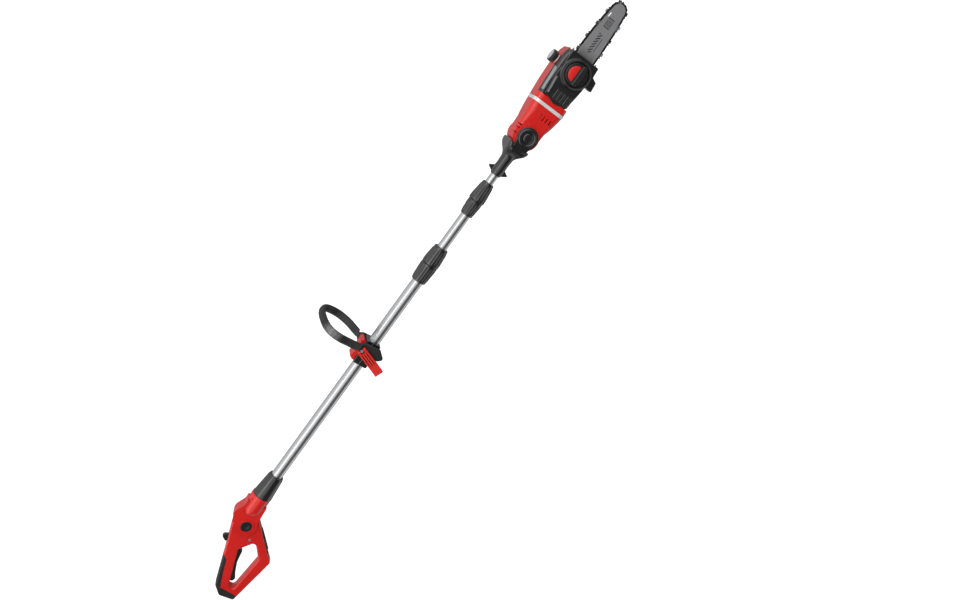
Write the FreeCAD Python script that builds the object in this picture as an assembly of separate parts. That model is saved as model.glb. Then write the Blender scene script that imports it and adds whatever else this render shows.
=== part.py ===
import FreeCAD, Part
import math
import os

# Telescoping pole saw. Millimetres, +X along the pole towards the bar tip, +Z up, sprocket cover on -Y.
# Everything is drawn about the pole axis (y = 0, z = 0) with x = 0 near the rear of the D-handle.
# When a piece is written it is moved so that the origin is under the middle of the whole saw.

V = FreeCAD.Vector
X, Y, Z = V(1, 0, 0), V(0, 1, 0), V(0, 0, 1)

CENTRE_X = 916.65         # middle of the collapsed saw's length
LOWEST_Z = -123.57        # lowest corner of the D-handle

# Telescoping tubes: outer diameters, walls and the stretch of each when collapsed
LOWER_D, MIDDLE_D, UPPER_D = 30.0, 26.0, 22.0
WALL = 1.5
LOWER_X = (245.0, 1022.0)
MIDDLE_X = (480.0, 1206.0)
UPPER_X = (660.0, 1345.0)
SLIDE_GAP = 0.08          # radial clearance of every sliding or turning fit
BODY_GAP = 0.35           # space between pieces of different bodies that don't guide each other

# Rear D-handle
HANDLE_T = 28.0           # width across the two shells
SHELL_WALL = 2.8
TILT_X, TILT_Z = 196.0, -9.0      # handle tilt axis
EAR_R, EAR_T = 28.0, 4.0          # socket ears either side of the handle hub
HUB_SWEEP = 41.0          # radius that the hub needs inside the socket
AXLE_R = 5.0
BUTTON_R = 14.5

# Front loop handle and its clamp
CLAMP_X = (716.0, 785.0)
CLAMP_HALF_W = 23.0
BOLT_X, BOLT_Z, BOLT_R = 760.0, 25.0, 3.0
FOOT_IN, FOOT_OUT = 30.0, 42.0    # inner and outer faces of the loop's feet
LEVER_T = 9.0

# Twist locks
LOWER_LOCK_X = (977.0, 1029.0, 1082.0)
UPPER_LOCK_X = (1186.0, 1230.0, 1286.0)
RIB_H = 0.9

# Fork and head pivot
PIVOT_X, PIVOT_Z = 1434.0, -2.0
KNUCKLE_R = 27.7
EAR_IN, EAR_OUT = 31.0, 41.0
BARREL_R = 38.2           # room that the housing's rear barrel turns in
HOUSING_R = 35.0

# Head
SHELL_END = 1521.0        # end of the rear housing, start of the trim band
BAND_END = 1530.0
NOSE_X = 1678.0
HEAD_HALF_W = 39.0
DRIVE_X, DRIVE_Z = 1585.0, -2.0   # drive sprocket shaft
STUD_X, STUD_Z = 1630.0, -3.0     # bar stud, cover knob and tension ring
BAR_Y, BAR_T = -30.0, 4.0
BAR_HALF_H = 25.0
BAR_TIP = 1837.0
NOSE_R = 17.0
COVER_IN, COVER_OUT = -38.0, -52.0
CAP_X, CAP_Y, CAP_Z = 1636.0, -10.0, 52.3
SHOULDER_Y = -24.0        # where the red top meets the black shoulder of the gearcase
GEARCASE_TOP = 39.6

# Chain
SPROCKET_R = 18.4         # radius of the rivet circle round the sprocket
RIVET_UP = 3.3            # rivet line above the bar's edge
LINK_STEP = 9.525         # rivet to rivet
TIE_T, TANG_T = 1.1, 1.15

PIECES = {}


def add(name, shape):
    """Keep one named piece, moved into the row's frame."""
    solid = shape.copy()
    solid.translate(V(-CENTRE_X, 0, -LOWEST_Z))
    PIECES[name] = solid


def box(x0, x1, y0, y1, z0, z1):
    return Part.makeBox(x1 - x0, y1 - y0, z1 - z0, V(x0, y0, z0))


def rod(start, axis, length, radius):
    return Part.makeCylinder(radius, length, V(*start), axis)


def ring(start, axis, length, outer, inner):
    return rod(start, axis, length, outer).cut(rod(start, axis, length, inner))


def rounded_wire(points, y):
    """Closed outline in the XZ plane; a point is (x, z) or (x, z, corner radius)."""
    corners = [V(p[0], y, p[1]) for p in points]
    radii = [p[2] if len(p) > 2 else 0.0 for p in points]
    starts, ends, middles = [], [], []
    for i, corner in enumerate(corners):
        before = (corners[i - 1] - corner).normalize()
        after = (corners[(i + 1) % len(corners)] - corner).normalize()
        if radii[i] <= 0:
            starts.append(corner)
            ends.append(corner)
            middles.append(None)
            continue
        half = before.getAngle(after) / 2
        reach = radii[i] / math.tan(half)
        bisector = (before + after).normalize()
        centre = corner + bisector * (radii[i] / math.sin(half))
        starts.append(corner + before * reach)
        ends.append(corner + after * reach)
        middles.append(centre - bisector * radii[i])
    edges = []
    for i in range(len(corners)):
        if middles[i] is not None:
            edges.append(Part.Arc(starts[i], middles[i], ends[i]).toShape())
        following = starts[(i + 1) % len(corners)]
        if ends[i].distanceToPoint(following) > 1e-4:
            edges.append(Part.LineSegment(ends[i], following).toShape())
    return Part.Wire(edges)


def slab(points, y0, y1):
    """Side-view outline extruded across the saw."""
    return Part.Face(rounded_wire(points, y0)).extrude(V(0, y1 - y0, 0))


def soft_slab(points, y0, y1, radius, holes=()):
    """A slab with rounded rims on both faces."""
    body = slab(points, y0, y1)
    for hole in holes:
        body = body.cut(slab(hole, y0 - 1, y1 + 1))
    rims = [e for e in body.Edges if e.BoundBox.YLength < 1e-6]
    return body.makeFillet(radius, rims)


def turned(profile, y=0.0, z=0.0):
    """Solid of revolution about a line along X; profile points are (x, radius)."""
    points = [V(px, y, z + pr) for px, pr in profile]
    if profile[-1][1] > 0:
        points.append(V(profile[-1][0], y, z))
    if profile[0][1] > 0:
        points.insert(0, V(profile[0][0], y, z))
    points.append(points[0])
    return Part.Face(Part.makePolygon(points)).revolve(V(0, y, z), X, 360)


def turned_y(profile, x, z):
    """Solid of revolution about a line along Y; profile points are (y, radius)."""
    points = [V(x, py, z + pr) for py, pr in profile]
    if profile[-1][1] > 0:
        points.append(V(x, profile[-1][0], z))
    if profile[0][1] > 0:
        points.insert(0, V(x, profile[0][0], z))
    points.append(points[0])
    return Part.Face(Part.makePolygon(points)).revolve(V(x, 0, z), Y, 360)


def section(x, half_w, low, high, radius, y=0.0):
    """Rounded rectangle across the saw at x, as a wire for lofts."""
    ys, zs = (y - half_w, y + half_w), (low, high)
    corners = [(ys[0], zs[0], 180), (ys[1], zs[0], 270), (ys[1], zs[1], 0), (ys[0], zs[1], 90)]
    edges, arcs = [], []
    for cy, cz, start in corners:
        oy = cy + radius if cy < y else cy - radius
        oz = cz + radius if cz == low else cz - radius
        at = [V(x, oy + radius * math.cos(math.radians(start + a)),
                oz + radius * math.sin(math.radians(start + a))) for a in (0, 45, 90)]
        arcs.append(at)
    for i, at in enumerate(arcs):
        edges.append(Part.Arc(*at).toShape())
        edges.append(Part.LineSegment(at[2], arcs[(i + 1) % 4][0]).toShape())
    return Part.Wire(edges)


def loft(wires):
    return Part.makeLoft(wires, True, False)


def left_half(shape):
    """The half on -Y."""
    return shape.common(box(-100, 2000, -200, 0, -300, 300))


def right_half(shape):
    return shape.common(box(-100, 2000, 0, 200, -300, 300))


def group(solids):
    return Part.makeCompound(solids)


def fuse(solids):
    return solids[0].multiFuse(list(solids[1:])).removeSplitter()


# ---------------------------------------------------------------- rear D-handle

HANDLE_OUTER = [(-9, -101, 6), (-12, -60, 10), (10, -36, 8), (104, -3, 60), (185, 26, 20), (226, 20, 18),
                (226, -26, 14), (127, -124, 6)]
HANDLE_OPENING = [(22, -68, 5), (126, -30, 8), (162, -58, 9), (122, -92, 12), (21, -83, 6)]
GRIP_SPLIT = [(-40, -40), (11, -51), (28, -43), (58, -31), (88, -20, 12), (108, 6), (60, 30), (-60, 30)]
CAP_SPLIT = [(-40, -150), (1.5, -150), (11, -51), (2, -20), (-40, -10)]


def handle_body():
    outer = soft_slab(HANDLE_OUTER, -HANDLE_T / 2, HANDLE_T / 2, 4.5, [HANDLE_OPENING])
    sweep = rod((TILT_X, -60, TILT_Z), Y, 120, HUB_SWEEP - 1.2)
    beyond = box(TILT_X, 260, -60, 60, -40, 60).cut(sweep)
    return outer.cut(beyond)


def handle_cavity():
    """Hollow inside the shells, one wall smaller than the outline all round."""
    face = Part.Face(rounded_wire(HANDLE_OUTER, 0)).cut(Part.Face(rounded_wire(HANDLE_OPENING, 0)))
    inner = face.Faces[0].makeOffset2D(-SHELL_WALL - 1.0)
    half = HANDLE_T / 2 - SHELL_WALL
    hollow = group([f.extrude(V(0, 2 * half, 0)) for f in inner.Faces])
    hollow.translate(V(0, -half, 0))
    hub_block = rod((TILT_X, -20, TILT_Z), Y, 40, 30)
    return hollow.cut(hub_block)


TRIGGER_PIVOT, TRIGGER_TRAVEL = (118.0, -36.0), 6


def trigger_outline(grow=0.0):
    g = grow
    return [(35 - g, -69 - g, 3), (44, -73 - g, 4), (58, -64 - g, 6), (90, -50 - g, 20), (124 + g, -44 - g, 4),
            (124 + g, -28 + g, 3), (88, -36 + g, 10), (35 - g, -54 + g, 3)]


def turned_trigger(angle, grow):
    """The trigger's outline as a block, squeezed by an angle in degrees."""
    block = slab(trigger_outline(grow), -7.2, 7.2)
    block.rotate(V(TRIGGER_PIVOT[0], 0, TRIGGER_PIVOT[1]), Y, angle)
    return block


def rear_handle():
    body = handle_body()
    grip_zone = slab(GRIP_SPLIT, -30, 30)
    cap_zone = slab(CAP_SPLIT, -30, 30)
    cap = body.common(cap_zone)
    grip = body.common(grip_zone).cut(cap_zone)
    shells = body.cut(grip_zone).cut(cap_zone)
    cavity = handle_cavity()
    swept = [turned_trigger(angle, 1.2) for angle in (0, 2, 4, TRIGGER_TRAVEL)]
    trigger_slot = fuse(swept)
    lock_slot = box(-9.5, 9.5, -5.4, 5.4, -14, 9)
    lock_slot.rotate(V(0, 0, 0), Y, -LOCK_LEAN)
    lock_slot.translate(V(LOCK_X, 0, LOCK_Z))
    bore = rod((TILT_X, -30, TILT_Z), Y, 60, AXLE_R + SLIDE_GAP)
    shells = shells.cut(cavity).cut(trigger_slot).cut(lock_slot).cut(bore)
    face = HANDLE_T / 2
    bosses = [rod((x, -face + 1, z), Y, HANDLE_T - 2, 4.0) for x, z, side in SCREW_PLACES]
    shells = fuse([shells] + bosses)
    screws = []
    for x, z, side in SCREW_PLACES:
        inwards = V(0, -side, 0)
        shells = shells.cut(rod((x, side * (face + 6), z), inwards, face + 18, 1.6))
        shells = shells.cut(rod((x, side * (face + 6), z), inwards, 8.4, 3.4))
        screws.append(screw((x, side * (face - 0.4), z), inwards, 3.2, 1.6, 22))
    shells = shells.cut(dock_recess())
    add("handle_shell_left", biggest(left_half(shells)))
    add("handle_shell_right", biggest(right_half(shells)))
    add("grip_overmold", biggest(grip.cut(cavity).cut(trigger_slot)))
    add("butt_cap", biggest(cap.cut(handle_cavity())))
    add("handle_screws", group(screws))


def biggest(shape):
    return max(shape.Solids, key=lambda s: s.Volume)


def screw(head, axis, head_r, shank_r, length):
    """Pan head with a cross recess; head is the centre of the head's outer face."""
    start = V(*head)
    body = Part.makeCylinder(head_r, 2.0, start, axis)
    shank = Part.makeCylinder(shank_r, length, start, axis)
    screw_body = body.fuse(shank).removeSplitter()
    slot_long = Part.makeBox(head_r * 1.2, 1.6, head_r * 0.3, V(-head_r * 0.6, -0.8, -head_r * 0.15))
    slot_cross = Part.makeBox(head_r * 0.3, 1.6, head_r * 1.2, V(-head_r * 0.15, -0.8, -head_r * 0.6))
    recess = slot_long.fuse(slot_cross)
    turn = FreeCAD.Rotation(Y, axis)
    recess.Placement = FreeCAD.Placement(start, turn)
    return screw_body.cut(recess)


LOCK_X, LOCK_Z, LOCK_LEAN = 138.0, 14.0, 22.0      # lock-off button on the grip's back
SCREW_PLACES = [(163, -40, -1), (20, -93, 1), (112, -105, 1), (100, -22, 1)]     # x, z, head's side
DOCK_A, DOCK_B = (140.0, -111.0), (206.0, -45.0)    # ends of the battery face on the 45 degree edge


def dock_local(shape):
    """Move a shape drawn along +X, with its outside on -Z, onto the battery face."""
    shape.rotate(V(0, 0, 0), Y, -45)
    shape.translate(V((DOCK_A[0] + DOCK_B[0]) / 2, 0, (DOCK_A[1] + DOCK_B[1]) / 2))
    return shape


def dock_recess():
    return dock_local(box(-36, 36, -11.4, 11.4, -4, 4.2))


def battery_dock():
    plate = box(-36, 36, -11.4, 11.4, 1.4, 4.2)
    rails = [box(-34, 34, s * 9.4 - 1.2, s * 9.4 + 1.2, -0.4, 1.4) for s in (-1, 1)]
    lips = [box(-34, 34, s * 8.9 - 1.7, s * 8.9 + 1.7, -1.8, -0.4) for s in (-1, 1)]
    stop = box(28, 34, -10.6, 10.6, -1.8, 1.4)
    slots = [box(-20, 0, s * 4.0 - 0.7, s * 4.0 + 0.7, -3, 6) for s in (-1, 0, 1)]
    dock = fuse([plate, stop] + rails + lips)
    for slot in slots:
        dock = dock.cut(slot)
    add("battery_dock", dock_local(dock))
    blades = [box(-19, -2, s * 4.0 - 0.4, s * 4.0 + 0.4, -0.2, 6.2) for s in (-1, 0, 1)]
    add("battery_terminals", dock_local(group(blades)))


def trigger_and_buttons():
    body = slab(trigger_outline(), -6.6, 6.6)
    px, pz = TRIGGER_PIVOT
    pivot = rod((px, -6.6, pz), Y, 13.2, 4.5)
    pins = rod((px, -8.4, pz), Y, 16.8, 1.9)
    rims = [e for e in body.Edges if e.BoundBox.YLength < 1e-6 and e.BoundBox.ZMax < -43]
    body = body.makeFillet(2.0, rims)
    body = fuse([body, pivot]).cut(box(30, 116, -4.6, 4.6, -62, -30))
    add("trigger", fuse([body, pins]))
    wedge = [(-9, -13, 0.5), (-9, 1, 1), (4, 10, 2.5), (9, 5, 1.5), (9, -13, 0.5)]
    button = slab(wedge, -5, 5)
    for i in range(4):
        groove = box(-12, 12, -6, 6, -0.5, 0.5)
        groove.rotate(V(0, 0, 0), Y, -34)
        groove.translate(V(-6.5 + 2.6 * i, 0, 3.6 + 1.8 * i))
        button = button.cut(groove.common(box(-9.4 + 2.6 * i, -7.4 + 2.6 * i + 1.2, -6, 6, 1, 20)))
    button.rotate(V(0, 0, 0), Y, -LOCK_LEAN)
    button.translate(V(LOCK_X, 0, LOCK_Z))
    add("lock_off_button", biggest(button))
    switch = box(106, 126, -7, 7, -22, -8).fuse(box(109, 113, -2, 2, -29.4, -22))
    add("handle_switch", switch.removeSplitter())


# ---------------------------------------------------------------- handle socket on the lower tube

def socket():
    half = HANDLE_T / 2 + BODY_GAP + EAR_T
    ears = slab([(TILT_X - 4, 30), (214, 39, 5), (224, 38, 5), (247, 28, 12), (262, 28), (262, -26),
                 (232, -28, 10), (214, -30), (TILT_X, -30)], -half, half)
    discs = rod((TILT_X, -half, TILT_Z), Y, 2 * half, EAR_R)
    shoulder = slab([(TILT_X - 22, 8, 5), (214, 39, 5), (240, 20), (TILT_X, -10)], -half, half)
    barrel = turned([(224, 15), (230, 22), (240, 26.5), (283, 27)], 0, 1)
    body = fuse([ears, discs, shoulder, barrel])
    inside = HANDLE_T / 2 + BODY_GAP
    body = body.cut(rod((TILT_X, -inside, TILT_Z), Y, 2 * inside, HUB_SWEEP))
    body = body.cut(box(100, TILT_X + 10, -inside, inside, -80, 80))
    body = body.cut(rod((LOWER_X[0], 0, 0), X, 60, LOWER_D / 2))
    body = body.cut(rod((TILT_X, -60, TILT_Z), Y, 120, AXLE_R))
    button_pocket = rod((TILT_X, -half - 1, TILT_Z), Y, 4.2, BUTTON_R + 0.25)
    rim = ring((TILT_X, -half - 1.6, TILT_Z), Y, 1.7, BUTTON_R + 5, BUTTON_R + 0.25)
    far_rim = ring((TILT_X, half - 0.1, TILT_Z), Y, 1.7, BUTTON_R + 5, AXLE_R)
    places = [(232, 20), (270, 21), (262, -19)]
    body = body.cut(button_pocket)
    body = fuse([body, rim, far_rim])
    for x, z in places:
        body = body.cut(rod((x, -40, z), Y, 80, 1.6)).cut(rod((x, 12, z), Y, 40, 3.4))
    add("socket_shell_left", biggest(left_half(body)))
    add("socket_shell_right", biggest(right_half(body)))
    add("socket_screws", group([screw((x, 14.2, z), V(0, -1, 0), 3.2, 1.6, 22) for x, z in places]))
    pin = rod((TILT_X, -half + 4.0, TILT_Z), Y, 2 * half - 4.0, AXLE_R)
    add("handle_axle", pin.cut(rod((TILT_X, -half + 3.9, TILT_Z), Y, 6, 2.0)))
    press = rod((TILT_X, -half - 1.8, TILT_Z), Y, 2.2, BUTTON_R)
    press = press.makeFillet(0.9, [e for e in press.Edges if abs(e.BoundBox.YMin + half + 1.8) < 1e-6
                                   and e.BoundBox.YLength < 1e-6])
    dish = Part.makeSphere(40, V(TILT_X, -half - 1.8 - 39.2, TILT_Z))
    add("handle_release_button", press.cut(dish))


def tube_collar():
    body = turned([(283.2, 26.4), (340, 21.5), (347, 19.4), (348, 18)])
    body = body.cut(rod((200, 0, 0), X, 300, LOWER_D / 2))
    for side in (-1, 1):
        body = body.cut(box(290, 342, -1.2, 1.2, side * 25 - 2.2, side * 25 + 2.2))
    add("tube_collar", biggest(body))


# ---------------------------------------------------------------- tubes and twist locks

def tube(name, diameter, span):
    add(name, ring((span[0], 0, 0), X, span[1] - span[0], diameter / 2, diameter / 2 - WALL))


def bush(name, diameter, outer_diameter, start):
    """Plastic guide ring pressed on a tube's tail, running in the next larger tube."""
    r_out = outer_diameter / 2 - WALL - SLIDE_GAP
    body = ring((start - 3, 0, 0), X, 32, r_out, diameter / 2)
    for i in range(3):
        body = body.cut(ring((start + 4 + 8 * i, 0, 0), X, 3, r_out + 1, r_out - 0.25))
    add(name, body)


def ribbed(profile, ribs, x0, x1, r0, r1, depth):
    """A turned sleeve with ribs along it; r0 and r1 are its radii at x0 and x1."""
    body = turned(profile)
    lean = math.degrees(math.atan2(r1 - r0, x1 - x0))
    solids = [body]
    for i in range(ribs):
        rib = box(0, x1 - x0, -1.0, 1.0, -1.0, depth)
        rib.rotate(V(0, 0, 0), Y, -lean)
        rib.translate(V(x0, 0, r0))
        rib.rotate(V(0, 0, 0), X, 360.0 * i / ribs)
        solids.append(rib)
    return fuse(solids)


def twist_lock(prefix, xs, outer_d, inner_d, tube_end, radii, ribs):
    """Sleeve fixed on the larger tube, collet round the smaller one, and the nut that squeezes it."""
    start, seam, end = xs
    r_rear, r_seam, r_nut, r_front = radii
    spigot = outer_d / 2 + 2.6
    sleeve = [(start, r_rear - 3), (start + 3, r_rear), (seam - 3, r_seam), (seam - 0.4, r_seam - 1.5)]
    body = ribbed(sleeve, ribs, start + 6, seam - 6, r_rear, r_seam, RIB_H)
    body = body.fuse(rod((seam - 1, 0, 0), X, 10, spigot)).removeSplitter()
    body = body.cut(rod((start - 5, 0, 0), X, tube_end - start + 5, outer_d / 2))
    body = body.cut(rod((start, 0, 0), X, 200, outer_d / 2 - WALL))
    add(prefix + "_body", biggest(body))
    grip = [(seam, r_nut - 1.5), (seam + 3, r_nut), (end - 4, r_front + 0.8), (end, r_front - 2.5)]
    nut = ribbed(grip, ribs, seam + 6, end - 8, r_nut - 0.2, r_front + 1.0, RIB_H)
    nut = nut.cut(rod((seam - 1, 0, 0), X, 12, spigot + SLIDE_GAP))
    nut = nut.cut(rod((seam - 1, 0, 0), X, end - seam - 16, inner_d / 2 + 2.6))
    nut = nut.cut(rod((seam, 0, 0), X, 200, inner_d / 2 + BODY_GAP))
    add(prefix + "_nut", biggest(nut))
    collet = ring((seam + 9.4, 0, 0), X, end - seam - 30, inner_d / 2 + 2.1, inner_d / 2 + SLIDE_GAP)
    for i in range(6):
        slit = box(seam + 14, end, -0.5, 0.5, 0, 40)
        slit.rotate(V(0, 0, 0), X, 60 * i)
        collet = collet.cut(slit)
    add(prefix + "_collet", biggest(collet))


# ---------------------------------------------------------------- front loop handle

def loop_handle():
    """One moulding: two flat feet outside the clamp, two arms that bow outwards, and a flattish top grip."""
    path = [(766, 36.5, -8), (766, 37.5, 12), (767, 50, 36), (771, 72, 62), (773.5, 85, 90), (774, 86, 110),
            (775, 75, 131), (778, 45, 147), (780, 16, 153)]
    wires = []
    centres = [V(x, -y, z) for x, y, z in path] + [V(x, y, z) for x, y, z in reversed(path)]
    for i, centre in enumerate(centres):
        before = centres[max(i - 1, 0)]
        after = centres[min(i + 1, len(centres) - 1)]
        along = (after - before).normalize()
        ellipse = Part.Ellipse(V(0, 0, 0), 10.6, 7.6)
        wire = Part.Wire([ellipse.toShape()])
        across = V(1, 0, 0) - along * along.x
        across.normalize()
        turn = FreeCAD.Rotation(across, along.cross(across), along, "ZXY")
        wire.Placement = FreeCAD.Placement(centre, turn)
        wires.append(wire)
    body = loft(wires)
    inset = 0.4
    for side in (-1, 1):
        low, high = sorted((side * (FOOT_OUT - inset), side * 60))
        body = body.cut(box(740, 800, low, high, -60, 34))
        low, high = sorted((side * 10, side * (FOOT_IN + inset)))
        body = body.cut(box(740, 800, low, high, -60, 44))
    foot = [(753, -26, 6), (764, -38, 6), (782, -18, 8), (779, 30, 10), (751, 34, 10)]
    for side in (-1, 1):
        low, high = sorted((side * FOOT_IN, side * FOOT_OUT))
        body = body.fuse(soft_slab(foot, low, high, 2.0))
        body = body.cut(rod((BOLT_X, low - 1, BOLT_Z), Y, high - low + 2, BOLT_R))
    add("loop_handle", biggest(body))
    shank = rod((BOLT_X, PIN_Y, BOLT_Z), Y, FOOT_OUT + 5 - PIN_Y, BOLT_R - 0.02)
    nut = rod((BOLT_X, FOOT_OUT + 0.3, BOLT_Z), Y, 5.2, 7.5)
    eye = rod((BOLT_X, PIN_Y - 3.4, BOLT_Z), Y, 6.0, 3.8)
    pin = Part.makeCylinder(2.0, 20, V(BOLT_X, PIN_Y, BOLT_Z) - LEVER_AXIS * 10, LEVER_AXIS)
    add("loop_bolt", fuse([shank, nut, eye, pin]))


LEVER_DOWN = V(-27, 0, -68).normalize()
LEVER_AXIS = V(68, 0, -27).normalize()
LEVER_HALF_W = 11.5
LEVER_IN = FOOT_OUT + 0.6             # lever's inner face, from the middle plane
PIN_Y = -(LEVER_IN + LEVER_T / 2)


def clamp_lever():
    """Quick-release lever lying down the near foot: a rounded cam head, then a ribbed finger tab."""
    side = [(-4.4, 0, 4.35), (-4.4, 9, 4.35), (54, 9, 20), (78, 11, 2.5), (78, 3.5, 2.5), (50, 0, 20)]
    body = slab(side, -LEVER_HALF_W, LEVER_HALF_W)
    rims = [e for e in body.Edges if e.BoundBox.YLength < 1e-6]
    body = body.makeFillet(1.6, rims)
    for across in (-6, 0, 6):
        body = body.cut(box(10, 48, across - 1.4, across + 1.4, LEVER_T - 1.6, LEVER_T + 2))
    body = body.cut(box(-6, 7, -4.4, 4.4, -1, LEVER_T + 2))
    body = body.cut(rod((0, -20, LEVER_T / 2), Y, 40, 2.0 + SLIDE_GAP))
    turn = FreeCAD.Rotation(LEVER_DOWN, LEVER_AXIS, V(0, -1, 0), "XZY")
    body.Placement = FreeCAD.Placement(V(BOLT_X, -LEVER_IN, BOLT_Z), turn)
    add("clamp_lever", biggest(body))


def clamp():
    bore = rod((600, 0, 0), X, 300, LOWER_D / 2 + SLIDE_GAP)
    side = [(CLAMP_X[0], -18.5, 4), (CLAMP_X[0], 21, 5), (CLAMP_X[1], 21, 5), (CLAMP_X[1], -18.5, 4)]
    block = soft_slab(side, -CLAMP_HALF_W, CLAMP_HALF_W, 2.5)
    upper = block.common(box(600, 900, -50, 50, 4.6, 60)).cut(bore)
    lower = block.common(box(600, 900, -50, 50, -60, 2.8)).cut(bore)
    add("clamp_upper", biggest(upper.cut(rod((BOLT_X, -60, BOLT_Z), Y, 120, BOLT_R + 1.5))))
    add("clamp_lower", biggest(lower))
    outline = [(719, 24, 2), (726, 36, 3), (748, 31, 4), (766, 32, 3), (774, 36, 3), (781, 29, 3),
               (777, 21.2, 2), (722, 21.2, 2)]
    saddle = soft_slab(outline, -19, 19, 1.2)
    hub = box(BOLT_X - 8, BOLT_X + 8, -29.6, 29.6, 21.2, 30).fuse(rod((BOLT_X, -29.6, 28), Y, 59.2, 4.0))
    saddle = fuse([saddle, hub]).cut(rod((BOLT_X, -60, BOLT_Z), Y, 120, BOLT_R + SLIDE_GAP))
    add("clamp_saddle", biggest(saddle))


# ---------------------------------------------------------------- fork and head pivot

def fork():
    neck = turned([(1311, 12.5), (1313, 14.0), (1324, 16.5), (1345, 15.5), (1372, 17.0)])
    flare = loft([section(1366, 16.5, -16, 17, 15.5), section(1380, 27, -22, 23, 14),
                  section(1394, EAR_OUT, -28, 29, 9), section(1410, EAR_OUT, -29, 31, 9)])
    fins = slab([(1312, 8), (1325, 31, 2.5), (1338, 8), (1338, -8), (1325, -31, 2.5), (1312, -8)], -4.5, 4.5)
    body = fuse([neck, flare, fins])
    body = body.cut(rod((PIVOT_X, -60, PIVOT_Z), Y, 120, BARREL_R + 1.6))
    ears = []
    for side in (-1, 1):
        low, high = sorted((side * EAR_IN, side * EAR_OUT))
        disc = rod((PIVOT_X, low, PIVOT_Z), Y, high - low, KNUCKLE_R)
        strut = slab([(1386, 17), (1434, 22), (1434, -26), (1386, -19)], low, high)
        ears += [disc, strut]
    body = fuse([body] + ears)
    body = body.cut(rod((UPPER_X[0], 0, 0), X, UPPER_X[1] - UPPER_X[0], UPPER_D / 2))
    body = body.cut(box(1380, 1500, -EAR_IN, EAR_IN, -60, 60).common(
        rod((PIVOT_X, -60, PIVOT_Z), Y, 120, BARREL_R + 1.6)))
    for side in (-1, 1):
        face = side * EAR_OUT
        low, high = sorted((face, face + side * 1.4))
        body = body.fuse(ring((PIVOT_X, low, PIVOT_Z), Y, 1.4, 22.0, 18.5))
    body = body.cut(rod((PIVOT_X, -60, PIVOT_Z), Y, 120, 6.0))
    body = body.cut(rod((PIVOT_X, -60, PIVOT_Z), Y, 60 - EAR_OUT + 5.5, 12.3))
    add("fork", biggest(body.removeSplitter()))
    add("head_axle", rod((PIVOT_X, -EAR_OUT + 5.5, PIVOT_Z), Y, 2 * EAR_OUT - 5.5, 6.0))
    profile = [(-EAR_OUT - 2.6, 9.6), (-EAR_OUT - 1.4, 11.6), (-EAR_OUT + 1.2, 12.0)]
    press = turned_y(profile, PIVOT_X, PIVOT_Z)
    press = press.cut(ring((PIVOT_X, -EAR_OUT - 3, PIVOT_Z), Y, 1.2, 7.6, 6.0))
    add("head_tilt_button", press)


# ---------------------------------------------------------------- saw head

def housing_outer():
    """Rear motor housing: a barrel round the tilt axis that opens into the motor case."""
    half = EAR_IN - BODY_GAP - 0.2
    barrel = rod((PIVOT_X, -half, PIVOT_Z + 2), Y, 2 * half, HOUSING_R)
    throat = loft([section(1440, 30.4, -35, 35, 8), section(1467, 30.75, -37.6, 36.6, 10)])
    case = loft([section(1466, 30.55, -37.5, 36.5, 10), section(1490, 37.5, -43, 40, 15),
                 section(SHELL_END, HEAD_HALF_W, -48, 43.6, 17)])
    return fuse([barrel, throat, case])


def motor_housing():
    outer = housing_outer()
    cavity = fuse([loft([section(1470, 27, -33.5, 32, 8), section(1492, 34, -39.5, 37, 13),
                         section(SHELL_END + 1, HEAD_HALF_W - 3, -45, 40.6, 14)]),
                   box(1446, 1474, -26.5, 26.5, -31, 30)])
    body = outer.cut(cavity)
    places = [(1500, 28.5, 33.0), (1500, -34, 33.0), (1444, -24, 29.0)]     # x, z and the seat's distance
    bosses = [rod((x, -seat, z), Y, 2 * seat, 4.6) for x, z, seat in places]
    body = fuse([body] + bosses).cut(rod((PIVOT_X, -60, PIVOT_Z), Y, 120, 6.0 + SLIDE_GAP))
    for x in (1428, 1442, 1451):
        body = body.cut(box(x, x + 3.2, -60, -15, 27, 60)).cut(box(x, x + 3.2, 27, 60, 8, 26))
    for i in range(4):
        z = 5.0 - 10.0 * i
        body = body.cut(box(1490, 1503, -60, 60, z - 1.4, z + 1.4))
    for x, z, seat in places:
        body = body.cut(rod((x, -20, z), Y, 80, 1.8)).cut(rod((x, seat - 2.2, z), Y, 60, 3.6))
    add("motor_housing_left", biggest(left_half(body)))
    add("motor_housing_right", biggest(right_half(body)))
    add("housing_screws", group([screw((x, seat, z), V(0, -1, 0), 3.4, 1.8, 48) for x, z, seat in places]))
    band = loft([section(SHELL_END + 0.2, HEAD_HALF_W + 0.6, -48.6, 44.2, 17.5),
                 section(BAND_END - 0.2, HEAD_HALF_W + 0.9, -49.4, 45.0, 17.5)])
    add("trim_band", band.cut(loft([section(SHELL_END - 1, HEAD_HALF_W - 2.6, -45.4, 40.8, 14),
                                    section(BAND_END + 1, HEAD_HALF_W - 2.6, -45.8, 41.6, 14)])))
    can = fuse([rod((1452, 0, DRIVE_Z), X, 60, 24.0), rod((1512, 0, DRIVE_Z), X, 4, 11.0)])
    add("motor_can", can.cut(rod((1451, 0, DRIVE_Z), X, 70, 3.2)).cut(
        rod((1456, 0, DRIVE_Z), X, 52, 21.0)))


CHEEK_SIDE = [(1540, -4, 30), (1550, 33, 4), (1570, 33, 3), (1570, -36, 3), (1550, -36, 4)]
GEARCASE_SIDE = [(1546, -40, 8), (1546, GEARCASE_TOP, 5), (1676, GEARCASE_TOP, 5), (NOSE_X, -44, 8),
                 (1655, -45, 6), (1600, -42, 20)]


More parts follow.
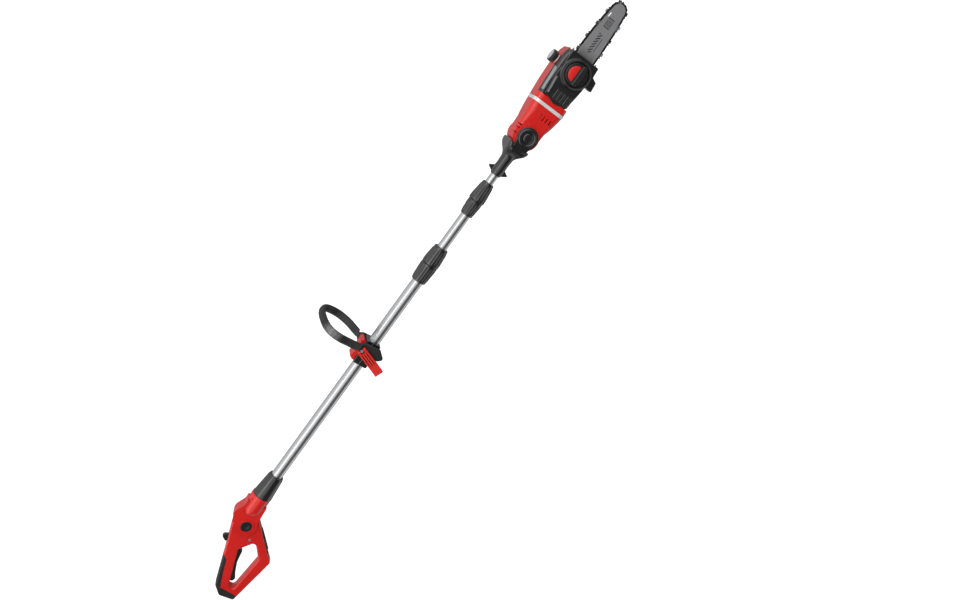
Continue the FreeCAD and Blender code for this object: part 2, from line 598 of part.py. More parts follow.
def front_outer(grow=0.0):
    """Outside of the head's front half, enlarged by grow."""
    g = grow
    return fuse([loft([section(BAND_END, HEAD_HALF_W + g, -48.6 - g, 44.4 + g, 17 + g),
                       section(1600, HEAD_HALF_W + g, -46 - g, 49.6 + g, 16 + g),
                       section(1646, HEAD_HALF_W - 0.6 + g, -45 - g, 50.2 + g, 15 + g)]),
                 loft([section(1645, HEAD_HALF_W - 0.7 + g, -45 - g, 50.1 + g, 15 + g),
                       section(1666, HEAD_HALF_W - 1.6 + g, -44 - g, 47.0 + g, 13 + g)]),
                 loft([section(1665, HEAD_HALF_W - 1.7 + g, -44 - g, 46.9 + g, 13 + g),
                       section(NOSE_X - 1, HEAD_HALF_W - 2.8 + g, -42 - g, 42.5 + g, 11 + g)])])


def front_housing():
    """Red shell over the top, rear and far side of the gearcase."""
    keep_out = box(1546, 1700, -90, HEAD_HALF_W - 4, -80, GEARCASE_TOP + 0.2)
    low_far = box(1560, 1700, 20, 60, -80, -12)
    shoulder_room = box(1546, 1700, -90, SHOULDER_Y, 0, 80)
    body = front_outer().cut(slab(CHEEK_SIDE, -60, COVER_IN)).cut(keep_out).cut(low_far).cut(shoulder_room)
    body = body.cut(rod((CAP_X, CAP_Y, 35), Z, 30, 12.0))
    body = body.cut(box(1529, 1547, -34, 33, -40, 37)).cut(box(1572, 1660, SHOULDER_Y + 1, 30, 40.8, 44.6))
    add("front_housing", biggest(body))
    tank = box(1574, 1658, SHOULDER_Y + 1.6, 28.5, 41.0, 44.3)
    tank = tank.cut(box(1575, 1657, SHOULDER_Y + 2.6, 27.5, 41.8, 43.5))
    neck = ring((CAP_X, CAP_Y, 43), Z, CAP_Z + 5 - 43, 11.8, 9.8)
    add("oil_tank", biggest(fuse([tank, neck]).cut(rod((CAP_X, CAP_Y, 42.5), Z, 30, 9.8))))


def bumper_spikes():
    solids = []
    for z0, z1, tip in ((28, 36.5, 34.5), (-41.5, -33, -39)):
        spike = slab([(1674, z0), (1674, z1), (1684.5, tip, 0.8)], -25.6, -22.6)
        solids.append(spike.fuse(box(1670, 1675, -25.6, -22.6, z0, z1)).removeSplitter())
    add("bumper_spikes", group(solids))
    return solids


def gearcase(spikes):
    outer = soft_slab(GEARCASE_SIDE, COVER_IN + 0.4, HEAD_HALF_W - 4.4, 3.0)
    shoulder = front_outer().common(box(1546.3, 1672, -60, SHOULDER_Y - 0.2, GEARCASE_TOP - 6, 80))
    shoulder = shoulder.cut(box(1500, 1700, -60, COVER_IN + 0.4, 0, GEARCASE_TOP - 0.3))
    hollow = box(1552, 1660, -17, 29, -36, 34)
    body = fuse([outer, shoulder]).cut(hollow)
    body = body.cut(rod((CAP_X, CAP_Y, GEARCASE_TOP - 2), Z, 30, 17.4))
    body = body.cut(rod((DRIVE_X, -60, DRIVE_Z), Y, 60, 6.5 + BODY_GAP))
    body = body.cut(rod((1540, 0, DRIVE_Z), X, 20, 6.0))
    chain_bay = slab([(1560, -33, 10), (1560, 36, 10), (1700, 36), (1700, -38.5), (1604, -38.5, 10)],
                     -60, BAR_Y + BAR_T / 2 + 2.0)
    body = body.cut(chain_bay)
    rear_cheek = soft_slab(CHEEK_SIDE, -42.5, -34, 1.5)
    fins = [soft_slab([(1548, z - 1.6, 1), (1548, z + 1.6, 1), (1576, z + 1.6, 1), (1576, z - 1.6, 1)],
                      -44.6, -40, 0.6) for z in (4, -7, -18, -29)]
    hook = soft_slab([(1622, -38, 2), (1619, -66, 2.5), (1645, -63, 3), (1657, -38, 2)], -37.5, -14, 2.0)
    hook = hook.cut(box(1600, 1700, -60, 0, -41.5, 0))
    body = fuse([body, hook])
    body = body.cut(rod((STUD_X, -60, STUD_Z), Y, 60, 4.0))
    for spike in spikes:
        body = body.cut(spike)
    add("gearcase", biggest(body))
    return rear_cheek, fins


def sprocket_cover(cheek, fins):
    """Outer cover over the sprocket and the bar's root, open at the front for the bar."""
    outline_points = [(1553, -37, 8), (1553, 33, 10), (1600, 38, 14), (1676, 38.5, 4), (1677, -44, 4),
                      (1652, -46, 10), (1600, -42.5, 14)]
    skin = soft_slab(outline_points, COVER_OUT + 8, COVER_IN, 2.5)
    boss = turned_y([(COVER_OUT, 36), (COVER_OUT + 2, 39.5), (COVER_IN - 3, 41)], STUD_X, STUD_Z)
    body = fuse([skin, boss, cheek] + fins)
    bay = slab([(1562, -32, 8), (1562, 30, 8), (1604, 35, 8), (1700, 35), (1700, -38.5), (1604, -38.5, 8)],
               -41.0, 0)
    body = body.cut(bay)
    body = body.cut(box(1500, 1720, COVER_IN, 0, -90, 90))
    body = body.cut(rod((STUD_X, -60, STUD_Z), Y, 30, 4.4))
    body = body.cut(ring((STUD_X, COVER_OUT - 1, STUD_Z), Y, 6.0, 37.9, 31.2))
    add("sprocket_cover", biggest(body))
    strip = slab([(1554, 39.5, 1), (1554, 44.2, 1), (1618, 48.6, 1), (1618, 43.9, 1)], -60, SHOULDER_Y - 4)
    upper = biggest(front_outer(0.7).cut(front_outer()).common(strip))
    lower = slab([(1556, 26, 1.5), (1556, 30, 1.5), (1597, 35, 1), (1602, 31.5, 1)], -45.2, -44.0)
    add("side_trim", group([upper, lower]))


def knob_and_ring():
    base = COVER_OUT + 4.6
    outer = turned_y([(COVER_OUT - 7.5, 35.2), (COVER_OUT - 6, 36.6), (base, 37.6)], STUD_X, STUD_Z)
    outer = outer.cut(turned_y([(COVER_OUT - 8, 31.5), (base + 1, 31.5)], STUD_X, STUD_Z))
    notches = []
    for i in range(30):
        notch = rod((STUD_X, COVER_OUT - 9, STUD_Z + 37.6), Y, 6.4, 1.1)
        notch.rotate(V(STUD_X, 0, STUD_Z), Y, 12 * i)
        notches.append(notch)
    add("tension_ring", biggest(outer.cut(group(notches))))
    profile = [(COVER_OUT - 5.0, 28.0), (COVER_OUT - 3.6, 30.4), (COVER_OUT - 0.4, 31.0)]
    disc = turned_y(profile, STUD_X, STUD_Z)
    grip = soft_slab([(STUD_X - 29, STUD_Z - 10, 4), (STUD_X - 27, STUD_Z - 1, 4),
                      (STUD_X + 27, STUD_Z - 1, 4), (STUD_X + 29, STUD_Z - 10, 4), (STUD_X, STUD_Z - 15, 50)],
                     COVER_OUT - 14, COVER_OUT - 3, 1.8)
    moon = slab([(STUD_X - 21, STUD_Z + 2, 2), (STUD_X - 13, STUD_Z + 17, 8), (STUD_X, STUD_Z + 25, 12),
                 (STUD_X + 13, STUD_Z + 17, 8), (STUD_X + 21, STUD_Z + 2, 2)], COVER_OUT - 9, COVER_OUT - 3.0)
    knob = fuse([disc.cut(moon), grip, rod((STUD_X, COVER_OUT - 4, STUD_Z), Y, 10, 9.0).common(
        rod((STUD_X, COVER_OUT - 4, STUD_Z), Y, 3.6, 9.0))])
    knob = knob.cut(rod((STUD_X, COVER_OUT - 3, STUD_Z), Y, 14, 3.0 + SLIDE_GAP))
    add("cover_knob", biggest(knob))
    stud = rod((STUD_X, COVER_OUT - 2.6, STUD_Z), Y, -14.5 - (COVER_OUT - 2.6), 3.0)
    flange = rod((STUD_X, BAR_Y + BAR_T / 2 + 0.4, STUD_Z), Y, 0.9, 8)
    add("bar_stud", fuse([stud, flange]))


def oil_cap():
    x, y, z = CAP_X, CAP_Y, CAP_Z
    profile = [(0, 14.6), (1.5, 15.6), (10, 16.4), (11.5, 16.0), (14.6, 15.8), (16.0, 14.2)]
    points = [V(x, y, z + 1.3)] + [V(x + r, y, z + 1.3 + h) for h, r in profile] + [V(x, y, z + 1.3 + 16)]
    body = Part.Face(Part.makePolygon(points + [points[0]])).revolve(V(x, y, z), Z, 360)
    for i in range(28):
        groove = rod((x + 16.7, y, z), Z, 12.0, 0.8)
        groove.rotate(V(x, y, z), Z, 360.0 * i / 28)
        body = body.cut(groove)
    body = body.cut(rod((x, y, z), Z, 10, 11.8 + SLIDE_GAP))
    add("oil_cap", biggest(body))


# ---------------------------------------------------------------- guide bar, chain and drive

def bar_edge(offset):
    """Closed outline of the guide bar, moved outwards by offset."""
    nose = V(BAR_TIP - NOSE_R, BAR_Y, DRIVE_Z + 0.5)
    lean = math.radians(7.0)
    big_r = (BAR_HALF_H - NOSE_R) / (1 - math.cos(lean)) + NOSE_R
    flat_x = nose.x + NOSE_R * math.sin(lean) - big_r * math.sin(lean)
    small, big = NOSE_R + offset, big_r + offset

    def on(radius, angle, cx, cz, sign):
        return V(cx + radius * math.sin(angle), BAR_Y, nose.z + sign * (cz + radius * math.cos(angle)))

    big_cx, big_cz = flat_x, BAR_HALF_H - big_r
    top_start = V(1604, BAR_Y, nose.z + BAR_HALF_H + offset)
    top_flat = on(big, 0, big_cx, big_cz, 1)
    top_mid = on(big, lean / 2, big_cx, big_cz, 1)
    top_end = on(big, lean, big_cx, big_cz, 1)
    tip = V(nose.x + small, BAR_Y, nose.z)
    low_end = on(big, lean, big_cx, big_cz, -1)
    low_mid = on(big, lean / 2, big_cx, big_cz, -1)
    low_flat = on(big, 0, big_cx, big_cz, -1)
    low_start = V(1604, BAR_Y, nose.z - BAR_HALF_H - offset)
    edges = [Part.LineSegment(top_start, top_flat), Part.Arc(top_flat, top_mid, top_end),
             Part.Arc(top_end, tip, low_end), Part.Arc(low_end, low_mid, low_flat),
             Part.LineSegment(low_flat, low_start)]
    return [e.toShape() for e in edges], top_start, low_start


def bar_plate(offset, y0, y1):
    edges, top, low = bar_edge(offset)
    closing = Part.LineSegment(low, top).toShape()
    plate = Part.Face(Part.Wire(edges + [closing])).extrude(V(0, y1 - y0, 0))
    plate.translate(V(0, y0 - BAR_Y, 0))
    return plate


def guide_bar():
    side = BAR_T / 2
    groove = 0.7
    cheeks = [bar_plate(0, BAR_Y - side, BAR_Y - groove), bar_plate(0, BAR_Y + groove, BAR_Y + side)]
    core = bar_plate(-6.5, BAR_Y - groove, BAR_Y + groove)
    bar = fuse(cheeks + [core])
    slot = slab([(STUD_X - 12, STUD_Z - 3.2, 3.1), (STUD_X - 12, STUD_Z + 3.2, 3.1),
                 (STUD_X + 7, STUD_Z + 3.2, 3.1), (STUD_X + 7, STUD_Z - 3.2, 3.1)], BAR_Y - 5, BAR_Y + 5)
    corner_cut = []
    for sign in (1, -1):
        z_edge = DRIVE_Z + 0.5 + sign * (BAR_HALF_H + 1)
        wedge = Part.makePolygon([V(1603, BAR_Y - 5, z_edge), V(1622, BAR_Y - 5, z_edge),
                                  V(1603, BAR_Y - 5, z_edge - sign * 11), V(1603, BAR_Y - 5, z_edge)])
        corner_cut.append(Part.Face(wedge).extrude(V(0, 10, 0)))
    bar = bar.cut(slot)
    for wedge in corner_cut:
        bar = bar.cut(wedge)
    for z in (STUD_Z + 13, STUD_Z - 13):
        bar = bar.cut(rod((STUD_X + 14, BAR_Y - 5, z), Y, 10, 3.0))
    hole = [(1793, 10.5, 1.5), (1793, 13.7, 1.5), (1806, 12.7, 1.5), (1806, 9.5, 1.5)]
    add("guide_bar", biggest(bar.cut(slab(hole, BAR_Y - 5, BAR_Y + 5))))


def chain_path():
    """Rivet line: round the sprocket, out along the bar's top, round its nose and back."""
    edges, top, low = bar_edge(RIVET_UP)
    tangent_x = 1604.0
    rear = V(DRIVE_X - SPROCKET_R, BAR_Y, DRIVE_Z)
    rise = math.atan2(top.z - DRIVE_Z, tangent_x - DRIVE_X)
    reach = math.hypot(top.z - DRIVE_Z, tangent_x - DRIVE_X)
    touch = rise + math.acos(SPROCKET_R / reach)
    upper = V(DRIVE_X + SPROCKET_R * math.cos(touch), BAR_Y, DRIVE_Z + SPROCKET_R * math.sin(touch))
    fall = math.atan2(low.z - DRIVE_Z, tangent_x - DRIVE_X)
    reach_low = math.hypot(low.z - DRIVE_Z, tangent_x - DRIVE_X)
    touch_low = fall - math.acos(SPROCKET_R / reach_low)
    lower = V(DRIVE_X + SPROCKET_R * math.cos(touch_low), BAR_Y, DRIVE_Z + SPROCKET_R * math.sin(touch_low))
    lead = [Part.Arc(lower, rear, upper).toShape(), Part.LineSegment(upper, top).toShape()]
    tail = [Part.LineSegment(low, lower).toShape()]
    return Part.Wire(lead + edges + tail)


def link_pose(shape, start, end):
    """Lay a link drawn along +X, with +Z outwards, between two rivets."""
    along = end - start
    angle = math.degrees(math.atan2(along.z, along.x))
    laid = shape.copy()
    laid.rotate(V(0, 0, 0), Y, -angle)
    laid.translate((start + end) * 0.5)
    return laid


def chain():
    path = chain_path()
    links = int(round(path.Length / LINK_STEP / 2)) * 2
    rivets = path.discretize(Number=links + 1)[:-1]
    step = path.Length / links
    hole_r = 1.3
    tie = slab([(-step / 2 - 2.9, -2.3, 2.1), (-step / 2 - 2.9, 2.3, 2.1), (step / 2 + 2.9, 2.3, 2.1),
                (step / 2 + 2.9, -2.3, 2.1)], 0, TIE_T)
    drive = slab([(-step / 2 - 2.9, -1.6, 1.2), (-step / 2 - 2.9, 2.2, 1.8), (step / 2 + 2.9, 2.2, 1.8),
                  (step / 2 + 2.9, -1.6, 1.2), (2.2, -5.2, 2.0), (-1.6, -5.2, 1.0)], 0, TANG_T)
    cutter = slab([(-step / 2 - 3.4, -2.3, 1.5), (-step / 2 - 3.4, 5.4, 1.0), (0.4, 5.9, 0.6),
                   (0.9, 2.6, 1.2), (3.4, 2.4, 1.0), (4.2, 5.0, 0.8), (6.6, 4.6, 0.8),
                   (step / 2 + 2.9, 2.0, 1.4), (step / 2 + 2.9, -2.3, 1.5)], 0, TIE_T)
    top_plate = slab([(-step / 2 - 3.4, 4.4, 0.3), (-step / 2 - 3.4, 5.4, 0.3), (0.4, 5.9, 0.3),
                      (0.4, 4.8, 0.2)], 0, 3.2)
    bores = [rod((s * step / 2, -10, 0), Y, 20, hole_r) for s in (-1, 1)]

    def drilled(shape):
        for bore in bores:
            shape = shape.cut(bore)
        return shape

    side = TANG_T / 2 + 0.06
    ties, drives, cutters, pins = [], [], [], []
    tie, drive = drilled(tie), drilled(drive)
    near_tie = tie.copy()
    near_tie.translate(V(0, -side - TIE_T, 0))
    far_tie = tie.copy()
    far_tie.translate(V(0, side, 0))
    drive.translate(V(0, -TANG_T / 2, 0))
    far_cutter = drilled(cutter).fuse(top_plate).removeSplitter()
    far_cutter.translate(V(0, side, 0))
    near_cutter = far_cutter.mirror(V(0, 0, 0), Y)
    pin_length = 2 * (side + TIE_T) + 0.7
    for i in range(links):
        start, end = rivets[i], rivets[(i + 1) % links]
        pins.append(rod((start.x, BAR_Y - pin_length / 2, start.z), Y, pin_length, hole_r))
        if i % 2:
            drives.append(link_pose(drive, start, end))
        elif i % 4 == 0 and (i // 4) % 2 == 0:
            cutters.append(link_pose(near_cutter, start, end))
            ties.append(link_pose(far_tie, start, end))
        elif i % 4 == 0:
            cutters.append(link_pose(far_cutter, start, end))
            ties.append(link_pose(near_tie, start, end))
        else:
            ties += [link_pose(far_tie, start, end), link_pose(near_tie, start, end)]
    add("chain_drive_links", group(drives))
    add("chain_tie_straps", group(ties))
    add("chain_cutters", group(cutters))
    add("chain_rivets", group(pins))


CROWN_TEETH, PINION_TEETH = 24, 8
CROWN_MEAN_R = 20.0


def drive_train():
    """Pinion on the motor shaft turns the crown gear, whose shaft carries the chain sprocket."""
    teeth = []
    for i in range(6):
        tooth = slab([(-3.4, 6), (-1.2, 12.2, 0.6), (1.2, 12.2, 0.6), (3.4, 6)], BAR_Y - 1.0, BAR_Y + 1.0)
        tooth.rotate(V(0, 0, 0), Y, 60 * i + 30)
        tooth.translate(V(DRIVE_X, 0, DRIVE_Z))
        teeth.append(tooth)
    hub = rod((DRIVE_X, BAR_Y - 4, DRIVE_Z), Y, 8, 8.6)
    sprocket = fuse([hub] + teeth).cut(rod((DRIVE_X, -60, DRIVE_Z), Y, 100, 4.0))
    add("drive_sprocket", sprocket)
    crown_face = -6.4
    wheel = ring((DRIVE_X, crown_face - 5, DRIVE_Z), Y, 5, 23.0, 4.0)
    cogs = []
    for i in range(CROWN_TEETH):
        cog = box(17.5, 22.5, crown_face - 0.5, crown_face + 1.3, -1.0, 1.0)
        cog.rotate(V(0, 0, 0), Y, 360.0 / CROWN_TEETH * (i + 0.5))
        cog.translate(V(DRIVE_X, 0, DRIVE_Z))
        cogs.append(cog)
    add("crown_gear", fuse([wheel] + cogs))
    shaft = fuse([rod((DRIVE_X, BAR_Y - 6, DRIVE_Z), Y, 44, 4.0), rod((DRIVE_X, -22, DRIVE_Z), Y, 4, 6.4)])
    add("sprocket_shaft", shaft)
    pinion_x = DRIVE_X - CROWN_MEAN_R
    core = rod((pinion_x - 3, 0, DRIVE_Z), X, 6, 4.4)
    shaft_rod = rod((1450, 0, DRIVE_Z), X, pinion_x + 3 - 1450, 3.12)
    rotor_core = rod((1462, 0, DRIVE_Z), X, 40, 19.5)
    centred = []
    for i in range(PINION_TEETH):
        spur = box(pinion_x - 2.4, pinion_x + 2.4, -6.2, 0, -0.8, 0.8)
        spur.rotate(V(0, 0, 0), X, 360.0 / PINION_TEETH * i)
        spur.translate(V(0, 0, DRIVE_Z))
        centred.append(spur)
    add("motor_rotor", fuse([core, shaft_rod, rotor_core] + centred))


def main():
    rear_handle()
    battery_dock()
    trigger_and_buttons()
    socket()
    tube_collar()
    tube("lower_tube", LOWER_D, LOWER_X)
    tube("middle_tube", MIDDLE_D, MIDDLE_X)
    tube("upper_tube", UPPER_D, UPPER_X)
    bush("middle_tube_bush", MIDDLE_D, LOWER_D, MIDDLE_X[0])
    bush("upper_tube_bush", UPPER_D, MIDDLE_D, UPPER_X[0])
    twist_lock("lower_lock", LOWER_LOCK_X, LOWER_D, MIDDLE_D, LOWER_X[1], (19.5, 23.0, 23.8, 19.6), 20)
    twist_lock("upper_lock", UPPER_LOCK_X, MIDDLE_D, UPPER_D, MIDDLE_X[1], (16.8, 19.8, 22.0, 15.0), 18)
    loop_handle()
    clamp_lever()
    clamp()
    fork()
    motor_housing()
    front_housing()
    cheek, fins = gearcase(bumper_spikes())
    sprocket_cover(cheek, fins)
    knob_and_ring()
    oil_cap()
    guide_bar()
    chain()
    drive_train()
    os.makedirs("parts", exist_ok=True)
    everything = Part.makeCompound(list(PIECES.values())).BoundBox
    print("size", round(everything.XLength, 2), round(everything.YLength, 2), round(everything.ZLength, 2))
    print("box", everything)
    for name, shape in PIECES.items():
        if not shape.isValid() or not shape.Solids:
            print("bad shape:", name, shape.isValid(), len(shape.Solids))
        shape.exportStep("parts/" + name + ".step")
    print(len(PIECES), "pieces")


main()
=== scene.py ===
import math

import bmesh
import bpy
from bpy.props import FloatProperty, FloatVectorProperty, IntProperty
from mathutils import Matrix, Vector


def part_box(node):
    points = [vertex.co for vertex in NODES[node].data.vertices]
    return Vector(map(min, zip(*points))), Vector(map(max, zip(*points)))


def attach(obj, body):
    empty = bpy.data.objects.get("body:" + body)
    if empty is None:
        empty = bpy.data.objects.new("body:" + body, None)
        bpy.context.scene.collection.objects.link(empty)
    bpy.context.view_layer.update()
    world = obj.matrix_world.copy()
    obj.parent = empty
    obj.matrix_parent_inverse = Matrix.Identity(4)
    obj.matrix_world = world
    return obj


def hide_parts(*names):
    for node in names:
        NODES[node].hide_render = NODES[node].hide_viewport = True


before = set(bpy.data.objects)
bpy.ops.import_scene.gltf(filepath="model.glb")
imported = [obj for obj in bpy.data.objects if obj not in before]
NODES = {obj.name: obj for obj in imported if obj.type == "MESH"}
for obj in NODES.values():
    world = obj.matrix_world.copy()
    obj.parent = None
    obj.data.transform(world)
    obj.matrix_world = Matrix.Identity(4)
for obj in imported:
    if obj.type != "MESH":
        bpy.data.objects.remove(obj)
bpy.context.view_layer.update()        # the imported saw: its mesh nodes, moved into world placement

bl_info = {
    "name": "Telescoping Pole Saw",
    "version": (1, 0, 0),
    "blender": (4, 5, 0),
    "location": "3D View > Sidebar > Pole Saw",
    "description": "Dresses the packed pole saw with moulded shapes and shop finishes",
    "category": "Add Mesh",
}

MM = 0.001


def middle(node):
    """Centre of a node's box."""
    low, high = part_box(node)
    return (low + high) / 2


POLE = middle("lower_tube")                    # a point on the pole's axis
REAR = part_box("lower_tube")[0].x - 245 * MM    # zero of the lengthwise drawing dimensions
STUD = middle("bar_stud")
BAR_LOW, BAR_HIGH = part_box("guide_bar")


def place(x, y, z):
    """A point given in millimetres along the pole, across it and above its axis."""
    return Vector((REAR + x * MM, y * MM, POLE.z + z * MM))


# ---------------------------------------------------------------- shader arithmetic

class Value:
    """A socket that takes part in arithmetic; each operator adds one Math node."""

    def __init__(self, finish, socket):
        self.finish = finish
        self.socket = socket

    def _math(self, operation, *terms):
        return self.finish.add("ShaderNodeMath", {"operation": operation}, dict(enumerate(terms)))

    def __add__(self, other):
        return self._math("ADD", self, other)

    def __radd__(self, other):
        return self._math("ADD", other, self)

    def __sub__(self, other):
        return self._math("SUBTRACT", self, other)

    def __rsub__(self, other):
        return self._math("SUBTRACT", other, self)

    def __mul__(self, other):
        return self._math("MULTIPLY", self, other)

    def __rmul__(self, other):
        return self._math("MULTIPLY", other, self)

    def __truediv__(self, other):
        return self._math("DIVIDE", self, other)

    def __gt__(self, other):
        return self._math("GREATER_THAN", self, other)

    def __lt__(self, other):
        return self._math("LESS_THAN", self, other)

    def __abs__(self):
        return self._math("ABSOLUTE", self)

    def modulo(self, step):
        return self._math("FLOORED_MODULO", self, step)

    def ramp(self, low, high):
        """0 below low, 1 above high, straight between."""
        return self.finish.add("ShaderNodeMapRange", {"clamp": True},
                               {"Value": self, "From Min": low, "From Max": high})


class Finish:
    """The node tree of one material or of the world."""

    def __init__(self, tree):
        self.tree = tree
        tree.nodes.clear()

    def add(self, kind, settings=None, inputs=None, output=0):
        """Add one node: its settings first, then its inputs, and give back one output."""
        node = self.tree.nodes.new(kind)
        for key, value in (settings or {}).items():
            if key == "stops":
                ramp = node.color_ramp
                ramp.elements.remove(ramp.elements[1])
                ramp.elements[0].position, ramp.elements[0].color = value[0]
                for position, colour in value[1:]:
                    ramp.elements.new(position).color = colour
            else:
                setattr(node, key, value)
        for key, value in (inputs or {}).items():
            if isinstance(value, Value):
                self.tree.links.new(value.socket, node.inputs[key])
            else:
                node.inputs[key].default_value = value
        return Value(self, node.outputs[output])

    def place(self, stretch=(1, 1, 1)):
        """Object coordinates in metres, stretched along each axis."""
        where = self.add("ShaderNodeTexCoord", output="Object")
        if stretch == (1, 1, 1):
            return where
        return self.add("ShaderNodeVectorMath", {"operation": "MULTIPLY"}, {0: where, 1: stretch})

    def axes(self):
        """Object coordinates in metres, one by one."""
        split = self.add("ShaderNodeSeparateXYZ", inputs={0: self.place()})
        node = split.socket.node
        return [Value(self, node.outputs[i]) for i in range(3)]

    def reach(self, origin, direction):
        """Millimetres from a point, measured along a direction."""
        along = self.add("ShaderNodeVectorMath", {"operation": "DOT_PRODUCT"},
                         {0: self.place(), 1: tuple(direction)}, "Value")
        return (along - origin.dot(direction)) * 1000

    def away(self, origin):
        """Millimetres from a point in any direction."""
        far = self.add("ShaderNodeVectorMath", {"operation": "DISTANCE"},
                       {0: self.place(), 1: tuple(origin)}, "Value")
        return far * 1000

    def noise(self, scale, detail=3.0, stretch=(1, 1, 1), roughness=0.55):
        return self.add("ShaderNodeTexNoise", None, {"Vector": self.place(stretch), "Scale": scale,
                                                     "Detail": detail, "Roughness": roughness})

    def cells(self, scale):
        return self.add("ShaderNodeTexVoronoi", {"feature": "F1"}, {"Vector": self.place(), "Scale": scale})

    def blend(self, mask, first, second):
        """Mix two colours by a mask from 0 to 1."""
        colours = {}
        for socket, value in ((6, first), (7, second)):
            colours[socket] = value if isinstance(value, Value) else (*value, 1)
        return self.add("ShaderNodeMix", {"data_type": "RGBA"}, {0: mask, **colours}, 2)

    def bump(self, height, distance, strength=1.0):
        sockets = {"Height": height, "Distance": distance, "Strength": strength}
        return self.add("ShaderNodeBump", None, sockets)

    def surface(self, **sockets):
        named = {key.replace("_", " "): value for key, value in sockets.items()}
        shader = self.add("ShaderNodeBsdfPrincipled", None, named)
        self.add_output(shader)

    def add_output(self, shader):
        output = self.tree.nodes.new("ShaderNodeOutputMaterial")
        self.tree.links.new(shader.socket, output.inputs["Surface"])


def new_finish(name):
    material = bpy.data.materials.new(name)
    material.use_nodes = True
    return material, Finish(material.node_tree)


def shade(colour, factor):
    """A colour made darker or lighter, never past white."""
    return tuple(min(1.0, channel * factor) for channel in colour)


# ---------------------------------------------------------------- finishes

def glossy_plastic(name, colour, roughness=0.24, marks=()):
    """Polished moulding: faint orange peel, dust-dulled patches and a clear top layer.

    Each mark is a function from the finish to a mask, with the colour that shows in it.
    """
    material, f = new_finish(name)
    cloud = f.noise(9, 4)
    speck = f.noise(700, 2)
    haze = cloud.ramp(0.35, 0.7)
    base = f.blend(haze, shade(colour, 0.92), shade(colour, 1.06))
    base = f.blend((speck > 0.68) * 0.25, base, shade(colour, 1.35))
    for mask, tint in marks:
        base = f.blend(mask(f), base, tint)
    peel = f.noise(260, 2) + 0.35 * f.noise(1500, 2)
    f.surface(Base_Color=base, Roughness=roughness + 0.10 * haze + 0.08 * speck,
              Coat_Weight=0.6, Coat_Roughness=0.07, Normal=f.bump(peel, 0.00006, 0.35))
    return material


def grained_plastic(name, colour, roughness=0.25, grain=0.00003, marks=()):
    """Spark-eroded moulding grain with slightly polished high spots; marks as in glossy_plastic."""
    material, f = new_finish(name)
    pebble = f.cells(1500)
    cloud = f.noise(14, 4).ramp(0.3, 0.72)
    rub = f.noise(120, 3).ramp(0.55, 0.75)
    base = f.blend(cloud, shade(colour, 0.85), shade(colour, 1.25))
    base = f.blend(rub * 0.35, base, shade(colour, 1.9))
    for mask, tint in marks:
        base = f.blend(mask(f), base, tint)
    f.surface(Base_Color=base, Roughness=roughness + 0.08 * cloud - 0.06 * rub, Specular_IOR_Level=0.9,
              Coat_Weight=0.7, Coat_Roughness=0.16,
              Normal=f.bump(pebble + 0.5 * f.noise(600, 3), grain, 0.4))
    return material


def soft_rubber(name, colour, marks=()):
    """Matt overmoulded elastomer with a raised stipple; marks as in glossy_plastic."""
    material, f = new_finish(name)
    dots = 1 - f.cells(620).ramp(0.0, 0.42)
    cloud = f.noise(22, 4).ramp(0.3, 0.7)
    base = f.blend(cloud, shade(colour, 0.8), shade(colour, 1.3))
    base = f.blend(dots * 0.25, base, shade(colour, 1.7))
    for mask, tint in marks:
        base = f.blend(mask(f), base, tint)
    f.surface(Base_Color=base, Roughness=0.44 + 0.14 * cloud - 0.08 * dots, Specular_IOR_Level=0.6,
              Normal=f.bump(dots, 0.00018, 0.6))
    return material


def brushed_tube(name, colour):
    """Drawn aluminium: streaks along the tube, a few handling marks round it."""
    material, f = new_finish(name)
    streak = f.noise(1, 5, (5, 900, 900), 0.7)
    marks = f.noise(1, 2, (240, 18, 18)).ramp(0.66, 0.74)
    cloud = f.noise(7, 3)
    base = f.blend(streak, shade(colour, 0.82), shade(colour, 1.08))
    base = f.blend(marks * 0.16, base, shade(colour, 0.6))
    f.surface(Base_Color=base, Metallic=1.0, Roughness=0.20 + 0.14 * streak + 0.08 * cloud + 0.1 * marks,
              Normal=f.bump(streak, 0.00002, 0.35))
    return material


def machined_metal(name, colour, roughness=0.32, dirt=0.25):
    """Bare worked metal with fine scratches and a stained film."""
    material, f = new_finish(name)
    scratch = f.noise(1, 4, (1500, 300, 300), 0.7)
    stain = f.noise(60, 5).ramp(0.45, 0.75)
    base = f.blend(scratch, shade(colour, 0.85), shade(colour, 1.12))
    base = f.blend(stain * dirt, base, shade(colour, 0.35))
    f.surface(Base_Color=base, Metallic=0.95, Roughness=roughness + 0.12 * scratch + 0.15 * stain,
              Normal=f.bump(scratch, 0.00003, 0.4))
    return material


def silver_paint(name, colour):
    """Satin metallic lacquer with fine flake."""
    material, f = new_finish(name)
    flake = f.cells(2400)
    cloud = f.noise(30, 3)
    base = f.blend(flake.ramp(0.1, 0.6), shade(colour, 1.08), shade(colour, 0.88))
    f.surface(Base_Color=base, Metallic=0.35, Roughness=0.28 + 0.12 * cloud, Coat_Weight=0.3,
              Normal=f.bump(f.noise(300, 2), 0.00004, 0.3))
    return material


